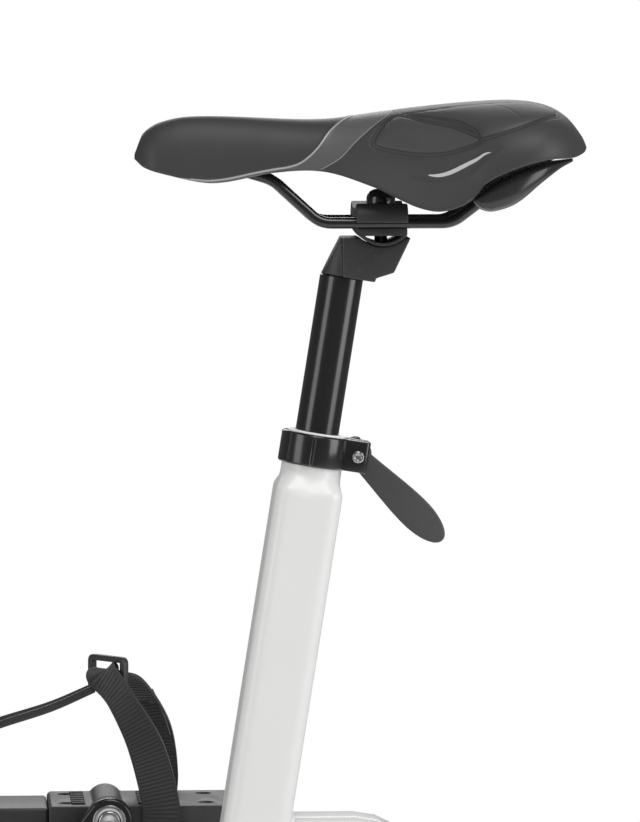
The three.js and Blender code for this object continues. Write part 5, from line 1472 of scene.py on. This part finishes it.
wheel_low, wheel_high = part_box("left_transport_wheel")
tread = [(26, 0), (28.6, 0), (30, 1.6), (30, 4.6), (28.8, 5.2), (28.8, 6.2), (30, 6.8), (30, 11.2),
         (28.8, 11.8),
         (28.8, 12.8), (30, 13.4), (30, 16.4), (28.6, 18), (26, 18), (26, 0)]
hub = [(6.4, 1), (12, 1), (13, 4), (22, 4), (24, 1), (26, 1), (26, 17), (24, 17), (22, 14), (13, 14),
       (12, 17),
       (6.4, 17), (6.4, 1)]
for side, sign in (("left", 1), ("right", -1)):
    middle = pivot(f"{side}_wheel_spin")
    inner = wheel_low.y
    at = Matrix.Translation((middle.x, 0, middle.z)) @ AXLE_TURN
    for name, profile, slot, nodes in (("tyre", tread, "rubber", [f"{side}_transport_wheel"]),
                                       ("hub", hub, "white_plastic", [])):
        heights = [(r * MM, sign * (inner + h * MM)) for r, h in profile]
        piece = rounded(turned(f"{side}_wheel_{name}", heights, 96), 0.2 * MM, 2)
        settle(piece, f"{side}_wheel", slot, *nodes, place=at)
print("feet and wheels settled")

# %% [markdown]
# ## Cranks and bottom bracket
# The crank is forged: a flat bar with a groove along its face and softly rounded edges. It is drawn
# lying along X with its outer face away from the bike, and then each side is turned to its own pedal.

# %% Crank arms
CRANK_LENGTH = (LEFT_AXLE - BRACKET).length
CRANK_INNER, CRANK_OUTER, BOSS_INNER = 74 * MM, 90 * MM, 62 * MM
BOSS, EYE = 20 * MM, 15 * MM
crank_outline = (arc(0, 0, BOSS, 80, 280, 40)
                 + arc(CRANK_LENGTH, 0, EYE, -80, 80, 32))
arm_plate = plate("crank_arm", crank_outline, CRANK_INNER, CRANK_OUTER)
rounded(arm_plate, 2.4 * MM, 5, 50)
groove_outline = (arc(34 * MM, 0, 6 * MM, 90, 270, 16)
                  + arc(CRANK_LENGTH - 30 * MM, 0, 5 * MM, -90, 90, 16))
groove = plate("groove", groove_outline, CRANK_OUTER - 1.6 * MM, CRANK_OUTER + 10 * MM)
eye_hole = turned("eye_hole", [(7.3 * MM, 0), (7.3 * MM, 0.2)], 48)
eye_hole.data.transform(Matrix.Translation((CRANK_LENGTH, 0, 0)) @ AXLE_TURN)
axle_hole = turned("axle_hole", [(8.8 * MM, 0), (8.8 * MM, 0.2)], 48)
axle_hole.data.transform(AXLE_TURN)
rounded(drilled(arm_plate, groove, eye_hole, axle_hole), 0)
boss = turned("crank_boss", [(8.8 * MM, BOSS_INNER), (19 * MM, BOSS_INNER), (BOSS, BOSS_INNER + 1 * MM),
                             (BOSS, CRANK_INNER + 2 * MM), (8.8 * MM, CRANK_INNER + 2 * MM),
                             (8.8 * MM, BOSS_INNER)], 72)
boss.data.transform(AXLE_TURN)
arm_piece = joined("left_crank_forged", arm_plate, rounded(boss, 0.2 * MM, 2))
dust_cap = turned("dust_cap", [(12.5 * MM, CRANK_OUTER - 0.5 * MM), (12.5 * MM, CRANK_OUTER + 1 * MM),
                               (11 * MM, CRANK_OUTER + 2 * MM), (4 * MM, CRANK_OUTER + 2.4 * MM),
                               (3.4 * MM, CRANK_OUTER + 1.2 * MM)], 64)
dust_cap.data.transform(AXLE_TURN)
rounded(dust_cap, 0.2 * MM, 2)
eye_ring = turned("eye_ring", [(7.4 * MM, CRANK_INNER - 0.8 * MM), (10.4 * MM, CRANK_INNER - 0.8 * MM),
                               (11 * MM, CRANK_INNER + 0.4 * MM), (7.4 * MM, CRANK_INNER + 0.4 * MM),
                               (7.4 * MM, CRANK_INNER - 0.8 * MM)], 64)
eye_ring.data.transform(Matrix.Translation((CRANK_LENGTH, 0, 0)) @ AXLE_TURN)
rounded(eye_ring, 0.2 * MM, 2)
spindle = turned("pedal_spindle", [
    (2.6 * MM, 75 * MM), (2.6 * MM, 73 * MM), (6.2 * MM, 73 * MM), (7 * MM, 73.8 * MM), (7 * MM, 90.3 * MM),
    (9 * MM, 90.3 * MM), (9 * MM, 95.5 * MM), (6 * MM, 95.5 * MM), (6 * MM, 167 * MM)], 48)
spindle.data.transform(Matrix.Translation((CRANK_LENGTH, 0, 0)) @ AXLE_TURN)
rounded(spindle, 0.25 * MM, 2)
for piece, slot, node in ((arm_piece, "black_gloss", "crank"), (dust_cap, "black_plastic", None),
                          (eye_ring, "bright_steel", None), (spindle, "bright_steel", "pedal_spindle")):
    right = mirror_copy(piece, piece.name.replace("left", "right") + "_right")
    for each, side, axle in ((piece, "left", LEFT_AXLE), (right, "right", RIGHT_AXLE)):
        toward = axle - BRACKET
        at = Matrix.Translation(BRACKET) @ Matrix.Rotation(-math.atan2(toward.z, toward.x), 4, "Y")
        settle(each, "cranks", slot, *([f"{side}_{node}"] if node else []), place=at)
print("cranks:", round(CRANK_LENGTH, 4), "m long")

# %% Bottom bracket
at_bracket = Matrix.Translation(BRACKET) @ AXLE_TURN
axle = turned("crank_axle_turned", [(7 * MM, -86 * MM), (8.5 * MM, -84.5 * MM), (8.5 * MM, -38 * MM),
                                    (8.1 * MM, -37 * MM), (8.1 * MM, 37 * MM), (8.5 * MM, 38 * MM),
                                    (8.5 * MM, 84.5 * MM), (7 * MM, 86 * MM)], 48)
settle(rounded(axle, 0.2 * MM, 2), "cranks", "bright_steel", "crank_axle", place=at_bracket)
for side, sign in (("left", 1), ("right", -1)):
    cup = [(8.8, 24), (19, 24), (19, 34.3), (22, 34.3), (22, 35.4), (21.4, 36), (17.5, 36), (17.1, 35.4),
           (11.2, 35.4), (10.8, 36), (8.8, 36), (8.8, 24)]
    piece = turned(f"{side}_bearing_cup", [(r * MM, sign * h * MM) for r, h in cup], 72)
    settle(rounded(piece, 0.15 * MM, 2), "frame", "bright_steel", f"{side}_bracket_bearing", place=at_bracket)
print("bracket settled")

# %% [markdown]
# ## Belt drive, guard and flywheel
# The belt has fine ribs on its inside. Its path runs round both pulleys with straight runs between,
# so one function gives the outline for the belt, for its guard and for the guard's back plate.

# %% Belt, pulleys and guard
def drive_outline(big, small, steps=48):
    """Points round the two pulleys at the given radii, as (x, z)."""
    run = FLY_AXLE - BRACKET
    along = math.degrees(math.atan2(run.z, run.x))
    spread = math.degrees(math.acos((big - small) / run.length))
    return (arc(BRACKET.x, BRACKET.z, big, along + spread, along - spread + 360, steps)
            + arc(FLY_AXLE.x, FLY_AXLE.z, small, along - spread, along + spread, steps // 2))


BELT_Y, PULLEY_BIG, PULLEY_SMALL = -47 * MM, 100 * MM, 25 * MM
inside_line = drive_outline(PULLEY_BIG + 0.5 * MM, PULLEY_SMALL + 0.5 * MM)
outside_line = drive_outline(PULLEY_BIG + 3.5 * MM, PULLEY_SMALL + 3.5 * MM)
belt_section = [(-6, 1), (6, 1)] + [(6 - 1.5 * i, 0.0 if i % 2 else 0.35) for i in range(9)]
belt_rings = []
for (xi, zi), (xo, zo) in zip(inside_line, outside_line):
    belt_rings.append([(xi + (xo - xi) * share, BELT_Y + y * MM, zi + (zo - zi) * share)
                       for y, share in belt_section])
belt_rings.append(belt_rings[0])
belt = rounded(skin("drive_belt_ribbed", belt_rings, closed_ends=False), 0)
settle(belt, "frame", "rubber", "drive_belt")

at_axle = Matrix.Translation(FLY_AXLE) @ AXLE_TURN
pulley_profile = [(8.8, -56), (22, -56), (24, -54), (24, -49.5), (26, -49), (86, -49), (88, -50), (88, -54),
                  (98.5, -54), (100, -52.5), (99.2, -51.5)]
pulley_profile += [(100 if i % 2 else 99.2, -51.5 + 1.5 * i) for i in range(1, 7)]
pulley_profile += [(100, -41.5), (98.5, -40), (88, -40), (88, -44), (86, -45), (26, -45), (24, -44.5),
                   (24, -40),
                   (22, -38), (8.8, -38), (8.8, -56)]
pulley = turned("drive_pulley_turned", [(r * MM, y * MM) for r, y in pulley_profile], 144)
cutters = []
for step in range(6):
    cutter = turned("lightening", [(15 * MM, -70 * MM), (15 * MM, -20 * MM)], 40)
    turn = math.radians(60 * step)
    cutter.data.transform(Matrix.Translation((56 * MM * math.cos(turn), 56 * MM * math.sin(turn), 0)))
    cutters.append(cutter)
settle(rounded(drilled(pulley, *cutters), 0), "cranks", "black_plastic", "drive_pulley", place=at_bracket)

small_profile = [(6.3, -54), (23.5, -54), (25, -52.5)]
small_profile += [(25 if i % 2 else 24.3, -52.5 + 1.6 * i) for i in range(7)]
small_profile += [(25, -41.5), (23.5, -40), (16, -40), (16, -22.3), (6.3, -22.3), (6.3, -54)]
small_pulley = turned("flywheel_pulley_turned", [(r * MM, y * MM) for r, y in small_profile], 72)
settle(rounded(small_pulley, 0), "flywheel_body", "black_plastic", "flywheel_pulley", place=at_axle)

GUARD_MARGIN, GUARD_OUTER, GUARD_INNER = 16 * MM, -60 * MM, -31.3 * MM
guard = plate("belt_guard_moulded", drive_outline(PULLEY_BIG + GUARD_MARGIN, PULLEY_SMALL + GUARD_MARGIN, 72),
              GUARD_OUTER, GUARD_INNER)
pick(guard, lambda edge: all(abs(v.co.y - GUARD_OUTER) < 0.1 * MM for v in edge.verts), "EDGE")
bpy.ops.mesh.bevel(offset=6 * MM, segments=6)
close_edit()
pick(guard, lambda face: face.normal.y > 0.9)
bpy.ops.mesh.delete(type="ONLY_FACE")
close_edit()
shell = guard.modifiers.new("shell", "SOLIDIFY")
shell.thickness = 2.2 * MM
shell.offset = -1
only(guard)
bpy.ops.object.modifier_apply(modifier="shell")


def axle_bore(place, radius):
    cutter = turned("bore", [(radius, -90 * MM), (radius, 0)], 72)
    cutter.data.transform(Matrix.Translation(place) @ AXLE_TURN)
    return cutter


drilled(guard, axle_bore(BRACKET, 14.5 * MM), axle_bore(FLY_AXLE, 14 * MM))
settle(rounded(guard, 0), "frame", "white_plastic", "belt_guard_cover")
back = plate("belt_guard_back_cut", drive_outline(PULLEY_BIG + GUARD_MARGIN - 1 * MM,
                                                  PULLEY_SMALL + GUARD_MARGIN - 1 * MM, 72),
                        -31 * MM, -29 * MM)
drilled(back, axle_bore(BRACKET, 24 * MM), axle_bore(FLY_AXLE, 20 * MM))
settle(rounded(back, 0.3 * MM, 2, 50), "frame", "white_plastic", "belt_guard_back")

screws = []
run = FLY_AXLE - BRACKET
for share, out in ((0.12, 78), (0.12, -78), (0.62, 38), (0.62, -38)):
    across = Vector((-run.z, 0, run.x)).normalized()
    spot = BRACKET + run * share + across * out * MM
    screw = turned("guard_screw", [(4.4 * MM, -59 * MM), (4.4 * MM, -61 * MM), (3.4 * MM, -61.8 * MM),
                                   (1.9 * MM, -62 * MM), (1.7 * MM, -60.8 * MM)], 36)
    screw.data.transform(Matrix.Translation((spot.x, 0, spot.z)) @ AXLE_TURN)
    screws.append(rounded(screw, 0.1 * MM, 2))
settle(joined("guard_screws", *screws), "frame", "bright_steel")
print("belt drive settled")

# %% [markdown]
# The flywheel is a heavy casting, turned all over: a wide rim with chamfered corners and a thin
# step, a dished web, and a hub with a ring of six bolts. Its axle carries a hexagonal nut each end.

# %% Flywheel
half_wheel = [(6.3, 22), (26, 22), (28, 20), (28, 7), (32, 5), (140, 5), (147, 7), (150, 12), (152, 15),
              (168, 15), (169, 14.2), (171, 14.2), (172, 15), (187.5, 15), (190, 12.5)]
wheel_profile = half_wheel + [(r, -y) for r, y in reversed(half_wheel)] + [half_wheel[0]]
flywheel = turned("flywheel_turned", [(r * MM, y * MM) for r, y in wheel_profile], 224)
settle(rounded(flywheel, 0), "flywheel_body", "iron", "flywheel", place=at_axle)
BOLT_RING = 18.5 * MM
bolts = []
for step in range(6):
    turn = math.radians(60 * step + 30)
    head = turned("hub_bolt", [(4.6 * MM, 21 * MM), (4.6 * MM, 25.4 * MM)], 6)
    head.data.transform(Matrix.Translation((BOLT_RING * math.cos(turn), BOLT_RING * math.sin(turn), 0)))
    bolts.append(rounded(head, 0.5 * MM, 2))
settle(joined("hub_bolts", *bolts), "flywheel_body", "bright_steel", place=at_axle)

shaft = turned("flywheel_shaft", [(5.2 * MM, -92 * MM), (6 * MM, -91 * MM), (6 * MM, 91 * MM),
                                  (5.2 * MM, 92 * MM)], 40)
axle_nuts = [turned("axle_nut", [(10 * MM, y * MM), (10 * MM, (y + 8) * MM)], 6) for y in (80.4, -88.4)]
washers = [turned("axle_washer", [(10.8 * MM, y * MM), (10.8 * MM, (y + 0.8) * MM)], 48)
           for y in (80.1, -80.9)]
metal = joined("flywheel_axle_turned", rounded(shaft, 0.2 * MM, 2),
               *[rounded(n, 0.6 * MM, 2) for n in axle_nuts],
               *[rounded(w, 0.15 * MM, 2) for w in washers])
settle(metal, "frame", "bright_steel", "flywheel_axle", place=at_axle)
print("flywheel:", len(flywheel.data.polygons), "faces")

# %% [markdown]
# ## Brake, mast and handlebar
# Knobs are moulded with lobes for the fingers. A skin over rings makes them: each ring is a circle
# whose radius swells and narrows, less near the two ends so that the lobes run out softly.

# %% Knobs
def lobed(name, profile, lobes, depth):
    rings = []
    for radius, height in profile:
        ring = []
        for turn in np.linspace(0, 2 * math.pi, 96, endpoint=False):
            reach = min(max((radius - 0.6 * profile[len(profile) // 2][0]) / (3 * MM), 0), 1)
            swell = radius - depth * reach * (0.5 - 0.5 * math.cos(lobes * turn)) ** 2
            ring.append((swell * math.cos(turn), swell * math.sin(turn), height))
        rings.append(ring)
    return rounded(skin(name, rings), 0, smooth=50)


BRAKE_OUT = -heading("brake_press")
BRAKE_FRAME = standing(FLY_AXLE, BRAKE_OUT)
knob_profile = [(14, 318), (16, 320), (20.5, 325.5), (21.8, 327.5), (22, 330), (22, 343.5), (21.4, 345.6),
                (19.5, 348), (17, 349.6), (8, 350)]
knob = lobed("resistance_knob_moulded", [(r * MM, z * MM) for r, z in knob_profile], 10, 1.8 * MM)
settle(knob, "brake_knob", "black_plastic", "resistance_knob", place=BRAKE_FRAME)
rod_profile = [(4.4, 214.3), (5, 215), (5, 262)]
for thread in range(20):
    rod_profile += [(5, 262.5 + 2 * thread), (4.5, 263.5 + 2 * thread)]
rod_profile += [(5, 303), (5, 331), (4.4, 332)]
rod = turned("brake_rod_threaded", [(r * MM, z * MM) for r, z in rod_profile], 40)
settle(rounded(rod, 0), "brake_stem", "bright_steel", "brake_rod", place=BRAKE_FRAME)
settle(taken_over("brake_pad", 0.8 * MM, 3), "brake_shoe", "rubber", "brake_pad")

mast_profile = [(4.9, 22.8), (5, 23), (5, 31), (12, 31), (12.4, 31.6), (18, 36.4), (19, 38), (19, 53),
                (18, 55.4),
                (15.5, 57.6), (13, 58.8), (5, 59)]
mast_knob = lobed("mast_knob_moulded", [(r * MM, z * MM) for r, z in mast_profile], 8, 1.8 * MM)
mast_knob.data.transform(Matrix.Translation((0, 0, KNOB_UP)) @ Matrix.Rotation(-math.pi / 2, 4, "Y"))
settle(mast_knob, "height_knob", "black_plastic", "mast_knob", place=MAST_FRAME)
print("knobs settled")

# %% Handlebar post, bar and grips
post_rings = [[(x, y, z * MM) for x, y in rounded_square(40 * MM, 40 * MM, 6 * MM, 6, 3)]
              for z in np.linspace(22, 560, 24)]
bar_post = skin("handlebar_post_drawn", post_rings, closed_ends=False)
wall = bar_post.modifiers.new("wall", "SOLIDIFY")
wall.thickness = 2 * MM
wall.offset = -1
only(bar_post)
bpy.ops.object.modifier_apply(modifier="wall")
cutters = []
for step in range(9):
    cutter = turned("pin_hole", [(5.2 * MM, -30 * MM), (5.2 * MM, -15 * MM)], 28)
    cutter.data.transform(Matrix.Translation((0, 0, (245 + 30 * step) * MM))
                          @ Matrix.Rotation(math.pi / 2, 4, "Y"))
    cutters.append(cutter)
settle(rounded(drilled(bar_post, *cutters), 0), "handlebars", "chrome", "handlebar_post", place=MAST_FRAME)
settle(taken_over("handlebar_bush", 0.8 * MM, 3), "frame", "black_plastic", "handlebar_bush")

BAR_RADIUS, BAR_HALF, BAR_REACH, BAR_RISE, BAR_HORN = 14, 220, 125, 580, 160
half_bar = [(BAR_REACH, BAR_HALF - 45, BAR_RISE), (BAR_REACH + 45, BAR_HALF, BAR_RISE + 4),
            (BAR_REACH + BAR_HORN, BAR_HALF, BAR_RISE + 22)]
bar_points = [(x * MM, -y * MM, z * MM) for x, y, z in reversed(half_bar)]
bar_points += [(x * MM, y * MM, z * MM) for x, y, z in half_bar]
bar = wire("handlebar_tube", bar_points, BAR_RADIUS * MM, 12, 28 * MM)
stem = block("handlebar_stem", (-22 * MM, -18 * MM, 560.3 * MM),
             ((BAR_REACH - 2) * MM, 18 * MM, (BAR_RISE + 16) * MM))
rounded(stem, 6 * MM, 6, 50)
collar_ring = turned("handlebar_clamp", [
    (13 * MM, -24 * MM), (19 * MM, -24 * MM), (20 * MM, -23 * MM), (20 * MM, -2 * MM), (19.3 * MM, -1.2 * MM),
    (19.3 * MM, 1.2 * MM), (20 * MM, 2 * MM), (20 * MM, 23 * MM), (19 * MM, 24 * MM), (13 * MM, 24 * MM),
    (13 * MM, -24 * MM)], 72)
collar_ring.data.transform(Matrix.Translation((BAR_REACH * MM, 0, BAR_RISE * MM)) @ AXLE_TURN)
rounded(collar_ring, 0.2 * MM, 2)
settle(joined("handlebar_bent", bar, stem, collar_ring), "handlebars", "black_gloss", "handlebar",
       place=MAST_FRAME)

grip_from = Vector((BAR_REACH + 45, BAR_HALF, BAR_RISE + 4)) * MM
grip_to = Vector((BAR_REACH + BAR_HORN, BAR_HALF, BAR_RISE + 22)) * MM
grip_run = grip_to - grip_from
GRIP_LENGTH = grip_run.length - 38 * MM
grip_profile = [(14.6 * MM, -GRIP_LENGTH), (18.4 * MM, -GRIP_LENGTH), (18.4 * MM, -GRIP_LENGTH + 5 * MM)]
ridge = -GRIP_LENGTH + 6 * MM
while ridge < -6 * MM:
    grip_profile += [(16.5 * MM, ridge), (17.6 * MM, ridge + 1 * MM), (17.6 * MM, ridge + 2.4 * MM),
                     (16.5 * MM, ridge + 3.4 * MM)]
    ridge += 4 * MM
grip_profile += [(17.5 * MM, 2 * MM), (16 * MM, 4 * MM), (1 * MM, 4.4 * MM), (1 * MM, 1 * MM),
                 (14.6 * MM, 1 * MM),
                 (14.6 * MM, -GRIP_LENGTH)]
left_grip = rounded(turned("left_grip_moulded", grip_profile, 60), 0)
left_grip.data.transform(Matrix.Translation(grip_to)
                         @ Matrix.Rotation(math.pi / 2 - math.atan2(grip_run.z, grip_run.x), 4, "Y"))
right_grip = mirror_copy(left_grip, "right_grip_moulded")
settle(left_grip, "handlebars", "rubber", "left_grip", place=MAST_FRAME)
settle(right_grip, "handlebars", "rubber", "right_grip", place=MAST_FRAME)
print("handlebar settled")

# %% [markdown]
# Every working node is meant to be replaced by a finished piece, so the nodes that are still seen are listed.

# %% Nodes still seen
still_seen = [name for name, node in frame["nodes"].items() if not node.hide_render]
print("working nodes still seen:", still_seen)
